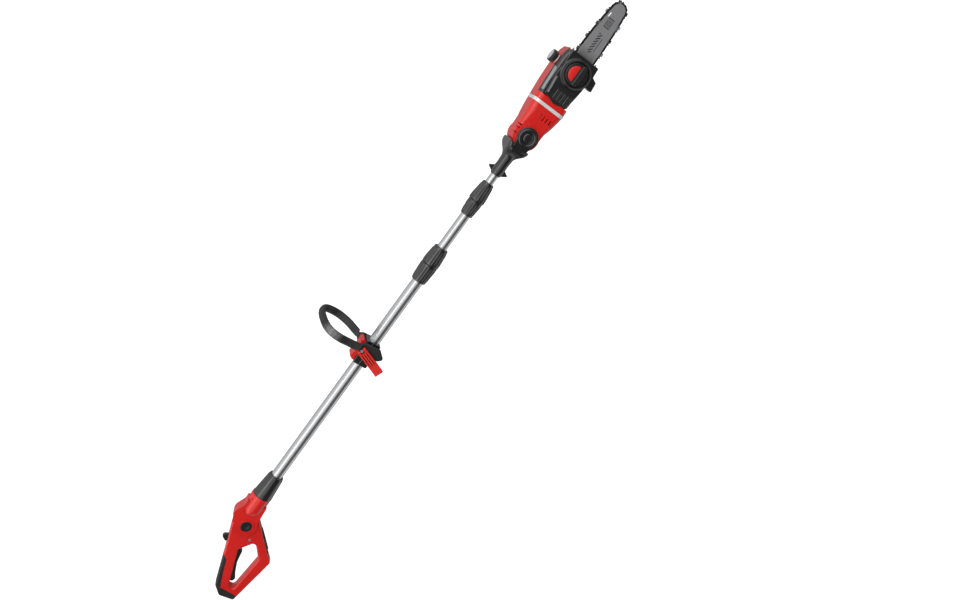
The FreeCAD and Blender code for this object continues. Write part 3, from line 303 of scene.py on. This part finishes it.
def printed_bar(name, colour, ink):
    """Ground bar plate: lengthwise grind, worn rails, a shaded root and plain printed marks."""
    material, f = new_finish(name)
    x, y, z = f.axes()
    mid = (BAR_LOW.z + BAR_HIGH.z) / 2
    along = (x - BAR_LOW.x) / (BAR_HIGH.x - BAR_LOW.x)
    above = z - mid
    grind = f.noise(1, 5, (40, 900, 1400), 0.72)
    fleck = f.noise(520, 3)
    base = f.blend(grind, shade(colour, 0.84), shade(colour, 1.12))
    base = f.blend(fleck.ramp(0.55, 0.75) * 0.3, base, shade(colour, 0.7))
    root = 1 - along.ramp(0.30, 0.44)
    base = f.blend(root * 0.75, base, shade(colour, 0.22))

    def panel(x0, x1, z0, z1):
        inside = (along > x0) * (along < x1)
        return inside * (above > z0 * MM) * (above < z1 * MM)

    hatch = panel(0.385, 0.625, -3.0, 7.0) * (((x * 1000 + z * 900).modulo(8.0)) < 3.6)
    rule = panel(0.42, 0.585, -9.0, -7.4)
    table = panel(0.70, 0.815, -6.5, 10.0) - panel(0.71, 0.805, -5.3, 8.8)
    rows = panel(0.72, 0.795, -4.6, 8.0) * ((z * 1000).modulo(3.2) < 1.3)
    marks = hatch + rule + table + rows
    worn = 1 - fleck.ramp(0.68, 0.8) * 0.8
    base = f.blend(marks * worn, base, ink)
    edge = abs(above).ramp(20.5 * MM, 24.0 * MM)
    base = f.blend(edge * 0.45, base, shade(colour, 1.35))
    f.surface(Base_Color=base, Metallic=0.8 - 0.7 * marks, Roughness=0.34 + 0.16 * grind + 0.12 * root,
              Normal=f.bump(grind, 0.00002, 0.35))
    return material


def oiled_chain(name, colour, bright):
    """Blued chain steel: oily film in patches, rubbed bright on its outer corners."""
    material, f = new_finish(name)
    oil = f.noise(180, 4).ramp(0.4, 0.65)
    rub = f.noise(420, 3).ramp(0.58, 0.72)
    base = f.blend(oil, colour, shade(colour, 0.45))
    base = f.blend(rub * 0.4, base, bright)
    f.surface(Base_Color=base, Metallic=0.9, Roughness=0.42 - 0.2 * oil + 0.08 * rub,
              Normal=f.bump(f.noise(900, 3), 0.00004, 0.5))
    return material


def clear_tank(name, colour):
    """Milky polyethylene that lets a little light through."""
    material, f = new_finish(name)
    cloud = f.noise(40, 4)
    base = f.blend(cloud, shade(colour, 0.88), shade(colour, 1.05))
    f.surface(Base_Color=base, Roughness=0.38 + 0.2 * cloud, Transmission_Weight=0.25,
              Normal=f.bump(f.noise(500, 2), 0.00004, 0.4))
    return material


LEVER_ROOT = place(760, 0, 25)
LEVER_DOWN = Vector((-27, 0, -68)).normalized()
LEVER_ACROSS = Vector((68, 0, -27)).normalized()


def lever_lane(f):
    """Distance from the middle of the nearest finger groove, and a mask of the grooved stretch."""
    across = f.reach(LEVER_ROOT, LEVER_ACROSS)
    down = f.reach(LEVER_ROOT, LEVER_DOWN)
    grooved = (down > 10) * (down < 48) * (abs(across) < 9)
    return 3 - abs(across.modulo(6) - 3), grooved


# Painted shade: darkens the lever's finger grooves, standing in for the shadow in them.
def lever_groove_shade(f):
    lane, grooved = lever_lane(f)
    return (lane < 1.5) * grooved * 0.85


# Painted highlight: lightens the crests between the lever's grooves towards orange.
def lever_crest_highlights(f):
    lane, grooved = lever_lane(f)
    return lane.ramp(2.0, 3.0) * grooved * 0.6


def fin_crest_highlights(f):
    """Painted highlight: grey lines along the crests of the fins on the rear of the sprocket cover."""
    x, _, z = f.axes()
    pitch, crest, first = 11.0, 1.6, -1.5      # millimetres, the last one measured from the pole's axis
    fin = middle("sprocket_cover")
    step = (z * 1000 - (POLE.z * 1000 + first)).modulo(pitch)
    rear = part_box("sprocket_cover")[0].x
    return (step < crest) * (x > rear + 10 * MM) * (x < rear + 36 * MM) * (z < fin.z + 16 * MM) * (
        z > fin.z - 30 * MM) * 0.8


def loop_corner_highlight(f):
    """Painted highlight on the near top corner of the loop grip, streaked across."""
    near = 1 - f.away(place(774, -80, 124)).ramp(8, 30)
    streak = f.noise(1, 3, (30, 160, 160)).ramp(0.35, 0.65)
    return near * (0.35 + 0.65 * streak)


# ---------------------------------------------------------------- sizes and colours

def colour_property(name, description, default):
    return FloatVectorProperty(name=name, description=description, default=default, subtype="COLOR",
                               size=3, min=0.0, max=1.0)


class PoleSawColours(bpy.types.PropertyGroup):
    """Colours of the saw's finishes, in linear light."""
    red: colour_property("Red", "Glossy shells, lever and saddle", (0.56, 0.010, 0.007))
    black: colour_property("Black", "Grained black mouldings", (0.006, 0.006, 0.0065))
    rubber: colour_property("Rubber", "Overmoulded grips", (0.011, 0.011, 0.012))
    grey: colour_property("Grey", "Grey caps and trims", (0.17, 0.175, 0.18))
    pale: colour_property("Pale", "Lid of the oil cap", (0.42, 0.43, 0.43))
    silver: colour_property("Silver", "Band round the motor housing", (0.74, 0.75, 0.76))
    aluminium: colour_property("Aluminium", "Telescoping tubes", (0.80, 0.81, 0.82))
    bar: colour_property("Bar", "Guide bar plate", (0.46, 0.46, 0.47))
    chain: colour_property("Chain", "Chain links", (0.05, 0.05, 0.052))
    cutter: colour_property("Cutter", "Chain cutters", (0.30, 0.30, 0.31))
    steel: colour_property("Steel", "Shafts, screws and gears", (0.78, 0.78, 0.79))
    brass: colour_property("Brass", "Battery contacts", (0.78, 0.56, 0.22))
    tank: colour_property("Tank", "Oil tank", (0.82, 0.82, 0.74))


class PoleSawSizes(bpy.types.PropertyGroup):
    """Sizes of the details that are drawn round the frame."""
    edge: FloatProperty(name="Edge radius", description="Softened edge of the moulded pieces",
                        default=0.7 * MM, min=0.0, unit="LENGTH")
    rib_height: FloatProperty(name="Rib height", description="Height of the ribs on the twist locks",
                              default=0.9 * MM, min=0.0, unit="LENGTH")
    lower_ribs: IntProperty(name="Lower lock ribs", description="Ribs round the lower twist lock",
                            default=22, min=6)
    upper_ribs: IntProperty(name="Upper lock ribs", description="Ribs round the upper twist lock",
                            default=20, min=6)
    floor_size: FloatProperty(name="Floor size", description="Side of the studio floor",
                              default=60.0, min=1.0, unit="LENGTH")


FINISHES = {}


def finish(slot):
    """The material of a slot, made on first use."""
    if slot not in FINISHES:
        c = bpy.context.scene.pole_saw_colours
        makers = {
            "red_plastic": lambda: glossy_plastic("red_gloss", tuple(c.red)),
            "black_plastic": lambda: grained_plastic("black_grain", tuple(c.black)),
            # The lever finish paints shade into its finger grooves and an orange highlight onto the crests
            # between them.
            "red_lever": lambda: glossy_plastic("lever_gloss_painted_shade_and_highlight", tuple(c.red), marks=(
                (lever_groove_shade, shade(c.red, 0.15)), (lever_crest_highlights, (0.80, 0.13, 0.05)))),
            # The finned cover finish paints grey highlight lines along its fin crests.
            "finned_black": lambda: grained_plastic("finned_grain_painted_highlights", tuple(c.black), marks=(
                (fin_crest_highlights, (0.13, 0.13, 0.135)),)),
            "soft_grip": lambda: soft_rubber("grip_rubber", tuple(c.rubber)),
            # The loop grip finish paints a grey highlight onto its near top corner.
            "loop_grip": lambda: soft_rubber("loop_rubber_painted_highlight", tuple(c.rubber), marks=(
                (loop_corner_highlight, (0.20, 0.20, 0.205)),)),
            "grey_plastic": lambda: grained_plastic("grey_grain", tuple(c.grey), 0.38),
            "pale_plastic": lambda: grained_plastic("pale_grain", tuple(c.pale), 0.36),
            "silver_trim": lambda: silver_paint("silver_band", tuple(c.silver)),
            "tube_aluminium": lambda: brushed_tube("drawn_aluminium", tuple(c.aluminium)),
            "bar_steel": lambda: printed_bar("ground_bar", tuple(c.bar), (0.012, 0.012, 0.013)),
            "chain_steel": lambda: oiled_chain("oiled_chain", tuple(c.chain), (0.30, 0.30, 0.31)),
            "cutter_steel": lambda: oiled_chain("cutter_steel", tuple(c.cutter), (0.6, 0.6, 0.62)),
            "machine_steel": lambda: machined_metal("machined_steel", tuple(c.steel)),
            "contact_brass": lambda: machined_metal("contact_brass", tuple(c.brass), 0.3, 0.1),
            "tank_plastic": lambda: clear_tank("milky_tank", tuple(c.tank)),
        }
        FINISHES[slot] = makers[slot]()
    return FINISHES[slot]


# ---------------------------------------------------------------- mesh helpers

def set_material(thing, slot, look=None):
    """Give a piece the finish of its slot, or another look within that slot."""
    thing.data.materials.clear()
    thing.data.materials.append(finish(look or slot))


def shade_smooth(mesh):
    mesh.polygons.foreach_set("use_smooth", [True] * len(mesh.polygons))


def soften(thing, width, angle=32.0, segments=2):
    """Round a hard edge over with modifiers; the mesh under them is untouched."""
    shade_smooth(thing.data)
    weld = thing.modifiers.new("weld", "WELD")
    weld.merge_threshold = 0.004 * MM
    if width > 0:
        bevel = thing.modifiers.new("edge", "BEVEL")
        bevel.width = width
        bevel.segments = segments
        bevel.limit_method = "ANGLE"
        bevel.angle_limit = math.radians(angle)
        bevel.use_clamp_overlap = True
    normals = thing.modifiers.new("normals", "WEIGHTED_NORMAL")
    normals.weight = 60
    normals.keep_sharp = False


def dress(names, slot, width=None, look=None):
    """Give carried-over nodes a finish and softened edges."""
    edge = bpy.context.scene.pole_saw_sizes.edge if width is None else width
    for name in names:
        node = NODES[name]
        set_material(node, slot, look)
        soften(node, edge)


def new_piece(name, verts, faces, slot, body, replaces=()):
    """A finished mesh piece that rides on a body and stands for CAD nodes."""
    mesh = bpy.data.meshes.new(name)
    mesh.from_pydata([tuple(v) for v in verts], [], faces)
    mesh.validate()
    clean = bmesh.new()
    clean.from_mesh(mesh)
    bmesh.ops.recalc_face_normals(clean, faces=clean.faces)
    clean.to_mesh(mesh)
    clean.free()
    shade_smooth(mesh)
    piece = bpy.data.objects.new(name, mesh)
    bpy.context.scene.collection.objects.link(piece)
    set_material(piece, slot)
    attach(piece, body)
    if replaces:
        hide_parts(*replaces)
    return piece


def turned(name, profile, centre, axis, slot, body, replaces=(), segments=96, ripple=None, closed=False):
    """Lathe piece. Profile points are (distance along axis, radius) in metres; ripple adds to the radius."""
    axis = Vector(axis).normalized()
    side = axis.orthogonal().normalized()
    other = axis.cross(side)
    verts, faces = [], []
    for step in range(segments):
        angle = 2 * math.pi * step / segments
        direction = side * math.cos(angle) + other * math.sin(angle)
        for along, radius in profile:
            extra = ripple(angle, along) if ripple else 0.0
            verts.append(Vector(centre) + axis * along + direction * (radius + extra))
    rows = len(profile)
    last = rows if closed else rows - 1
    for step in range(segments):
        ahead = (step + 1) % segments
        for row in range(last):
            up = (row + 1) % rows
            faces.append((step * rows + row, ahead * rows + row, ahead * rows + up, step * rows + up))
    if not closed:
        for row in (0, rows - 1):
            faces.append([step * rows + row for step in range(segments)])
    return new_piece(name, verts, faces, slot, body, replaces)


def moulded(name, nodes, slot, body, voxel, rounds):
    """A soft-edged skin cast from CAD nodes: remeshed, then relaxed."""
    mesh = bpy.data.meshes.new(name)
    cast = bmesh.new()
    for node in nodes:
        cast.from_mesh(NODES[node].data)
    bmesh.ops.remove_doubles(cast, verts=cast.verts, dist=0.003 * MM)
    cast.to_mesh(mesh)
    cast.free()
    mesh.materials.clear()
    piece = bpy.data.objects.new(name, mesh)
    bpy.context.scene.collection.objects.link(piece)
    remesh = piece.modifiers.new("cast", "REMESH")
    remesh.mode = "VOXEL"
    remesh.voxel_size = voxel
    relax = piece.modifiers.new("relax", "SMOOTH")
    relax.factor = 0.5
    relax.iterations = rounds
    graph = bpy.context.evaluated_depsgraph_get()
    skin = bpy.data.meshes.new_from_object(piece.evaluated_get(graph))
    piece.modifiers.clear()
    piece.data = skin
    bpy.data.meshes.remove(mesh)
    shade_smooth(skin)
    set_material(piece, slot)
    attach(piece, body)
    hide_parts(*nodes)
    return piece


def prism(name, outline, low, high, slot, body, edge):
    """A plate with softened edges: an outline in the side view, given thickness across the saw."""
    count = len(outline)
    verts = [Vector((p.x, y, p.z)) for y in (low, high) for p in outline]
    faces = [list(range(count)), list(range(count, 2 * count))]
    faces += [(i, (i + 1) % count, count + (i + 1) % count, count + i) for i in range(count)]
    piece = new_piece(name, verts, faces, slot, body)
    soften(piece, edge)
    return piece


def hollow_sleeve(outer, bore):
    """Closed lathe profile of a sleeve: its outside, then back along the bore."""
    return [*outer, (outer[-1][0], bore), (outer[0][0], bore)]


def ribs(count, height, start, end):
    """Ripple for turned(): rounded ribs along a sleeve that run out before its ends."""
    run_out = 3 * MM

    def ripple(angle, along):
        ends = min(1.0, max(0.0, min(along - start, end - along) / run_out))
        wave = max(0.0, math.cos(count * angle)) ** 0.7
        return height * wave * ends
    return ripple


# ---------------------------------------------------------------- operators

class PoleSawOperator(bpy.types.Operator):
    """Shared base of the build steps."""
    bl_options = {"REGISTER", "UNDO"}


class POLESAW_OT_rear_handle(PoleSawOperator):
    """Dress the D-handle, its grip, trigger, buttons and battery face"""
    bl_idname = "pole_saw.rear_handle"
    bl_label = "Rear Handle"

    def execute(self, context):
        dress(["handle_shell_left", "handle_shell_right"], "red_plastic")
        moulded("grip_skin", ["grip_overmold"], "soft_grip", "rear_handle", 0.7 * MM, 6)
        moulded("butt_bumper", ["butt_cap"], "soft_grip", "rear_handle", 0.7 * MM, 6)
        dress(["trigger", "lock_off_button", "battery_dock", "handle_switch"], "black_plastic")
        dress(["handle_screws"], "machine_steel", 0.2 * MM)
        dress(["battery_terminals"], "contact_brass", 0.1 * MM)
        return {"FINISHED"}


class POLESAW_OT_socket(PoleSawOperator):
    """Dress the tilting socket and the tube collar"""
    bl_idname = "pole_saw.socket"
    bl_label = "Handle Socket"

    def execute(self, context):
        dress(["socket_shell_left", "socket_shell_right"], "red_plastic")
        dress(["handle_release_button", "tube_collar"], "black_plastic")
        dress(["handle_axle", "socket_screws"], "machine_steel", 0.2 * MM)
        return {"FINISHED"}


class POLESAW_OT_tubes(PoleSawOperator):
    """Dress the three tubes and their guide bushes"""
    bl_idname = "pole_saw.tubes"
    bl_label = "Tubes"

    def execute(self, context):
        dress(["lower_tube", "middle_tube", "upper_tube"], "tube_aluminium", 0.15 * MM)
        dress(["middle_tube_bush", "upper_tube_bush"], "grey_plastic", 0.1 * MM)
        return {"FINISHED"}


class POLESAW_OT_twist_locks(PoleSawOperator):
    """Model the ribbed sleeves and nuts of both twist locks"""
    bl_idname = "pole_saw.twist_locks"
    bl_label = "Twist Locks"

    def execute(self, context):
        dress(["lower_lock_collet", "upper_lock_collet"], "grey_plastic", 0.1 * MM)
        sizes = context.scene.pole_saw_sizes
        self.lock("lower_lock", "lower_tube", "middle_tube", sizes.lower_ribs, sizes.rib_height,
                  "pole_base", "lower_lock_nut", 4.6 * MM)
        self.lock("upper_lock", "middle_tube", "upper_tube", sizes.upper_ribs, sizes.rib_height,
                  "middle_pole", "upper_lock_nut", 6.2 * MM)
        return {"FINISHED"}

    def lock(self, prefix, outer_tube, inner_tube, count, height, sleeve_body, nut_body, taper):
        """Lathe a sleeve that widens towards its seam and a nut that narrows away from it."""
        low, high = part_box(prefix + "_body")
        nut_low, nut_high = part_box(prefix + "_nut")
        seam = nut_low.x - 0.4 * MM
        length = seam - low.x
        wide = (high.z - low.z) / 2 - height
        slim = wide - 3.4 * MM
        outside = [(0, slim - 1.6 * MM), (0.8 * MM, slim - 0.4 * MM), (2.5 * MM, slim + 0.4 * MM)]
        outside += [(length * t, slim + (wide - slim) * t) for t in (0.12, 0.2, 0.35, 0.5, 0.65, 0.8, 0.88)]
        outside += [(length - 3 * MM, wide), (length - 1.2 * MM, wide - 0.2 * MM), (length, wide - 1.3 * MM)]
        sleeve = hollow_sleeve(outside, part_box(outer_tube)[1].z - POLE.z)
        turned(prefix + "_sleeve", sleeve, (low.x, POLE.y, POLE.z), (1, 0, 0), "black_plastic", sleeve_body,
               [prefix + "_body"], count * 12, ribs(count, height, 5 * MM, length - 4.5 * MM), closed=True)
        long = nut_high.x - nut_low.x
        fat = (nut_high.z - nut_low.z) / 2 - height
        front = fat - taper
        nut = [(0, fat - 1.6 * MM), (1.0 * MM, fat - 0.4 * MM), (2.6 * MM, fat)]
        nut += [(long * t, fat - taper * t ** 1.15) for t in (0.12, 0.25, 0.4, 0.55, 0.7, 0.8, 0.88)]
        nut += [(long - 3.5 * MM, front + 0.5 * MM), (long - 1.0 * MM, front - 0.3 * MM),
                (long, front - 1.6 * MM)]
        grip = hollow_sleeve(nut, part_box(inner_tube)[1].z - POLE.z + 0.4 * MM)
        turned(prefix + "_grip_nut", grip, (nut_low.x, POLE.y, POLE.z), (1, 0, 0), "black_plastic", nut_body,
               [prefix + "_nut"], count * 12, ribs(count, height, 5 * MM, long - 7 * MM), closed=True)


class POLESAW_OT_front_handle(PoleSawOperator):
    """Model the loop handle and dress its clamp and lever"""
    bl_idname = "pole_saw.front_handle"
    bl_label = "Front Handle"

    def execute(self, context):
        dress(["clamp_lever"], "red_plastic", 0.5 * MM, "red_lever")
        dress(["clamp_saddle"], "red_plastic", 0.5 * MM)
        dress(["clamp_upper", "clamp_lower"], "black_plastic")
        dress(["loop_bolt"], "machine_steel", 0.3 * MM)
        grip = moulded("loop_grip", ["loop_handle"], "soft_grip", "front_handle", 0.9 * MM, 8)
        set_material(grip, "soft_grip", "loop_grip")
        self.spacers()
        return {"FINISHED"}

    def spacers(self):
        """Two light strips in the slit between the clamp halves, one either side of the tube."""
        low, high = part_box("clamp_upper")
        slit = (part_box("clamp_lower")[1].z + 0.1 * MM, low.z - 0.1 * MM)
        inset = 1.2 * MM
        ends = (low.x + inset, high.x - inset)
        outline = [Vector((ends[i], 0, slit[j])) for i, j in ((0, 0), (1, 0), (1, 1), (0, 1))]
        for side, name in ((-1, "clamp_spacer_near"), (1, "clamp_spacer_far")):
            across = sorted((side * 16.5 * MM, side * (high.y - inset)))
            prism(name, outline, *across, "grey_plastic", "front_carriage", 0.3 * MM)


class POLESAW_OT_fork(PoleSawOperator):
    """Dress the fork and the head's pivot"""
    bl_idname = "pole_saw.fork"
    bl_label = "Fork"

    def execute(self, context):
        dress(["head_tilt_button"], "black_plastic", 0.3 * MM)
        moulded("fork_casting", ["fork"], "black_plastic", "upper_pole", 0.9 * MM, 6)
        dress(["head_axle"], "machine_steel", 0.3 * MM)
        return {"FINISHED"}


class POLESAW_OT_motor_housing(PoleSawOperator):
    """Dress the motor housing, trim band and front housing"""
    bl_idname = "pole_saw.motor_housing"
    bl_label = "Motor Housing"

    def execute(self, context):
        dress(["motor_housing_left", "motor_housing_right", "front_housing"], "red_plastic", 0.4 * MM)
        dress(["trim_band"], "silver_trim", 0.4 * MM)
        dress(["housing_screws"], "machine_steel", 0.2 * MM)
        dress(["side_trim"], "grey_plastic", 0.3 * MM)
        return {"FINISHED"}


class POLESAW_OT_gearcase(PoleSawOperator):
    """Dress the gearcase, sprocket cover, knob, tension ring and oil parts"""
    bl_idname = "pole_saw.gearcase"
    bl_label = "Gearcase and Cover"

    def execute(self, context):
        dress(["gearcase", "cover_knob", "tension_ring", "oil_cap"], "black_plastic", 0.4 * MM)
        dress(["sprocket_cover"], "black_plastic", 0.4 * MM, "finned_black")
        self.knob_window()
        self.cap_lid()
        dress(["oil_tank"], "tank_plastic", 0.3 * MM)
        dress(["bumper_spikes", "bar_stud"], "machine_steel", 0.2 * MM)
        return {"FINISHED"}

    def knob_window(self):
        """Crowned red half-moon let into the upper half of the cover knob."""
        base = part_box("bar_stud")[0].y
        width, height, foot = 23.0 * MM, 22.5 * MM, 1.2 * MM
        steps = 28
        middle_z = foot + height * 0.42
        rim = [(width * math.cos(math.pi * i / steps), foot + height * math.sin(math.pi * i / steps))
               for i in range(steps + 1)]
        crown = ((1.0, 0.0), (1.0, 1.6), (0.985, 2.0), (0.95, 2.3), (0.8, 2.75), (0.55, 3.1), (0.25, 3.25))
        verts = [Vector((STUD.x + x * scale, base - rise * MM, STUD.z + middle_z + (z - middle_z) * scale))
                 for scale, rise in crown for x, z in rim]
        around = len(rim)
        faces = [list(range(around)), list(range(len(verts) - around, len(verts)))]
        for layer in range(len(crown) - 1):
            a, b = layer * around, (layer + 1) * around
            for i in range(around):
                j = (i + 1) % around
                faces.append((a + i, a + j, b + j, b + i))
        new_piece("knob_window", verts, faces, "red_plastic", "cover_knob")

    def cap_lid(self):
        """Light lid let into the top of the oil cap."""
        low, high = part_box("oil_cap")
        top = Vector(((low.x + high.x) / 2, (low.y + high.y) / 2, high.z))
        profile = [(rise * MM, radius * MM) for rise, radius in (
            (-0.8, 13.4), (0.1, 13.4), (0.45, 13.0), (0.55, 12.2), (0.45, 10.8), (0.2, 10.0), (0.2, 3.0),
            (0.4, 2.2), (0.5, 1.0))]
        lid = turned("oil_cap_lid", profile, top, (0, 0, 1), "grey_plastic", "oil_cap")
        set_material(lid, "grey_plastic", "pale_plastic")


class POLESAW_OT_bar_and_chain(PoleSawOperator):
    """Dress the guide bar and the saw chain"""
    bl_idname = "pole_saw.bar_and_chain"
    bl_label = "Bar and Chain"

    def execute(self, context):
        dress(["guide_bar"], "bar_steel", 0.2 * MM)
        dress(["chain_drive_links", "chain_tie_straps", "chain_rivets"], "chain_steel", 0.0)
        dress(["chain_cutters"], "cutter_steel", 0.0)
        return {"FINISHED"}


class POLESAW_OT_drive(PoleSawOperator):
    """Dress the motor, gears and drive sprocket inside the head"""
    bl_idname = "pole_saw.drive"
    bl_label = "Drive"

    def execute(self, context):
        dress(["motor_can", "motor_rotor", "crown_gear", "sprocket_shaft", "drive_sprocket"],
              "machine_steel", 0.15 * MM)
        return {"FINISHED"}


# ---------------------------------------------------------------- stage

VIEW_AZIMUTH = math.radians(3.5)
VIEW_ELEVATION = math.radians(21.0)
VIEW_ROLL = math.radians(55.0565)
VIEW_DISTANCE = 2.25
VIEW_TARGET = (1273.15, 0.0, -171.40)      # millimetres, as place() takes them
VIEW_LENS = 32.379
VIEW_SHIFT = (-0.06, -0.08)

# brightness of the studio round the pole: degrees up from the viewer's side, over the top and down behind
STUDIO_GLOW = ((-180, 0.30), (-125, 0.05), (-104, 0.75), (-80, 0.75), (-66, 0.16), (-40, 0.07), (-8, 0.07),
               (-2, 0.75), (36, 0.80), (40, 2.6), (48, 2.6), (52, 0.80), (100, 0.62), (145, 0.42),
               (180, 0.25))
GLOW_PEAK = 3.0
FLOOR_COLOUR = (0.42, 0.42, 0.42, 1)
FLOOR_GLOW = 0.8

# lamps: name, place and target in metres, width and height in metres, watts
LAMPS = (("key", (0.2, -1.5, 1.5), (0.1, 0, 0.1), (3.2, 0.12), 26),
         ("rim", (0.0, 1.2, 1.9), (0.0, 0, 0.1), (3.4, 0.2), 8),
         ("fill", (0.2, -2.6, 0.4), (0.1, 0, 0.1), (3.2, 1.2), 22))


def add_camera():
    """Look down on the saw from its cover side, rolled so that the pole climbs to the right."""
    turn, drop = VIEW_AZIMUTH, VIEW_ELEVATION
    forward = Vector((-math.sin(turn) * math.cos(drop), math.cos(turn) * math.cos(drop), -math.sin(drop)))
    level = Vector((math.cos(turn), math.sin(turn), 0))
    lift = level.cross(forward)
    right = level * math.cos(VIEW_ROLL) - lift * math.sin(VIEW_ROLL)
    up = level * math.sin(VIEW_ROLL) + lift * math.cos(VIEW_ROLL)
    data = bpy.data.cameras.new("camera")
    data.lens = VIEW_LENS
    data.sensor_width = 36
    data.shift_x, data.shift_y = VIEW_SHIFT
    data.clip_end = 200
    camera = bpy.data.objects.new("camera", data)
    camera.matrix_world = Matrix((right, up, -forward)).transposed().to_4x4()
    camera.location = place(*VIEW_TARGET) - forward * VIEW_DISTANCE
    bpy.context.scene.collection.objects.link(camera)
    bpy.context.scene.camera = camera


def softbox(name, at, towards, size, watts):
    """A rectangular lamp that lights the saw but isn't mirrored in it."""
    data = bpy.data.lights.new(name, "AREA")
    data.shape = "RECTANGLE"
    data.size, data.size_y = size
    data.energy = watts
    light = bpy.data.objects.new(name, data)
    light.location = at
    light.visible_glossy = False
    light.rotation_euler = (Vector(towards) - Vector(at)).to_track_quat("-Z", "Y").to_euler()
    bpy.context.scene.collection.objects.link(light)


class POLESAW_OT_stage(PoleSawOperator):
    """Set the pale floor, the studio light and the camera"""
    bl_idname = "pole_saw.stage"
    bl_label = "Stage"

    def execute(self, context):
        self.floor(context.scene)
        self.world(context.scene)
        context.scene.view_settings.view_transform = "Standard"
        for lamp in LAMPS:
            softbox(*lamp)
        add_camera()
        return {"FINISHED"}

    def floor(self, scene):
        """A pale floor that glows a little, so that only soft shadows show on it."""
        half = scene.pole_saw_sizes.floor_size / 2
        corners = [(-half, -half, 0), (half, -half, 0), (half, half, 0), (-half, half, 0)]
        mesh = bpy.data.meshes.new("floor")
        mesh.from_pydata(corners, [], [(0, 1, 2, 3)])
        floor = bpy.data.objects.new("floor", mesh)
        scene.collection.objects.link(floor)
        material, f = new_finish("studio_floor")
        f.surface(Base_Color=FLOOR_COLOUR, Roughness=0.9, Emission_Color=(1, 1, 1, 1),
                  Emission_Strength=FLOOR_GLOW)
        floor.visible_glossy = False
        floor.visible_diffuse = False
        mesh.materials.append(material)

    def world(self, scene):
        """White behind the saw, and bright and dark strips along the pole for it to mirror."""
        world = bpy.data.worlds.new("studio")
        world.use_nodes = True
        scene.world = world
        w = Finish(world.node_tree)
        split = w.add("ShaderNodeSeparateXYZ", None, {0: w.add("ShaderNodeTexCoord", output="Generated")})
        across, up = (Value(w, split.socket.node.outputs[i]) for i in (1, 2))
        angle = w.add("ShaderNodeMath", {"operation": "ARCTAN2"}, {0: up, 1: -1 * across})
        turn = (angle / (2 * math.pi)) + 0.5
        stops = [((degrees + 180) / 360, (*(3 * [light / GLOW_PEAK]), 1)) for degrees, light in STUDIO_GLOW]
        strips = w.add("ShaderNodeValToRGB", {"stops": stops}, {0: turn})
        seen = w.add("ShaderNodeLightPath", output="Is Camera Ray")
        tone = w.blend(seen, strips, 3 * (1 / GLOW_PEAK,))
        glow = w.add("ShaderNodeBackground", None, {"Color": tone, "Strength": GLOW_PEAK})
        output = w.tree.nodes.new("ShaderNodeOutputWorld")
        w.tree.links.new(glow.socket, output.inputs["Surface"])


OPERATORS = (
    POLESAW_OT_rear_handle,
    POLESAW_OT_socket,
    POLESAW_OT_tubes,
    POLESAW_OT_twist_locks,
    POLESAW_OT_front_handle,
    POLESAW_OT_fork,
    POLESAW_OT_motor_housing,
    POLESAW_OT_gearcase,
    POLESAW_OT_bar_and_chain,
    POLESAW_OT_drive,
    POLESAW_OT_stage,
)


class POLESAW_PT_panel(bpy.types.Panel):
    """Build steps and settings of the pole saw"""
    bl_idname = "POLESAW_PT_panel"
    bl_label = "Pole Saw"
    bl_space_type = "VIEW_3D"
    bl_region_type = "UI"
    bl_category = "Pole Saw"

    def draw(self, context):
        for settings in (context.scene.pole_saw_sizes, context.scene.pole_saw_colours):
            box = self.layout.box()
            for name in settings.__annotations__:
                box.prop(settings, name)
        for step in OPERATORS:
            self.layout.operator(step.bl_idname)


CLASSES = (PoleSawColours, PoleSawSizes, *OPERATORS, POLESAW_PT_panel)


def register():
    for cls in CLASSES:
        bpy.utils.register_class(cls)
    bpy.types.Scene.pole_saw_colours = bpy.props.PointerProperty(type=PoleSawColours)
    bpy.types.Scene.pole_saw_sizes = bpy.props.PointerProperty(type=PoleSawSizes)


def unregister():
    del bpy.types.Scene.pole_saw_sizes
    del bpy.types.Scene.pole_saw_colours
    for cls in reversed(CLASSES):
        bpy.utils.unregister_class(cls)


def main():
    register()
    for step in OPERATORS:
        name = step.bl_idname.split(".")[1]
        getattr(bpy.ops.pole_saw, name)()


if __name__ == "__main__":
    main()
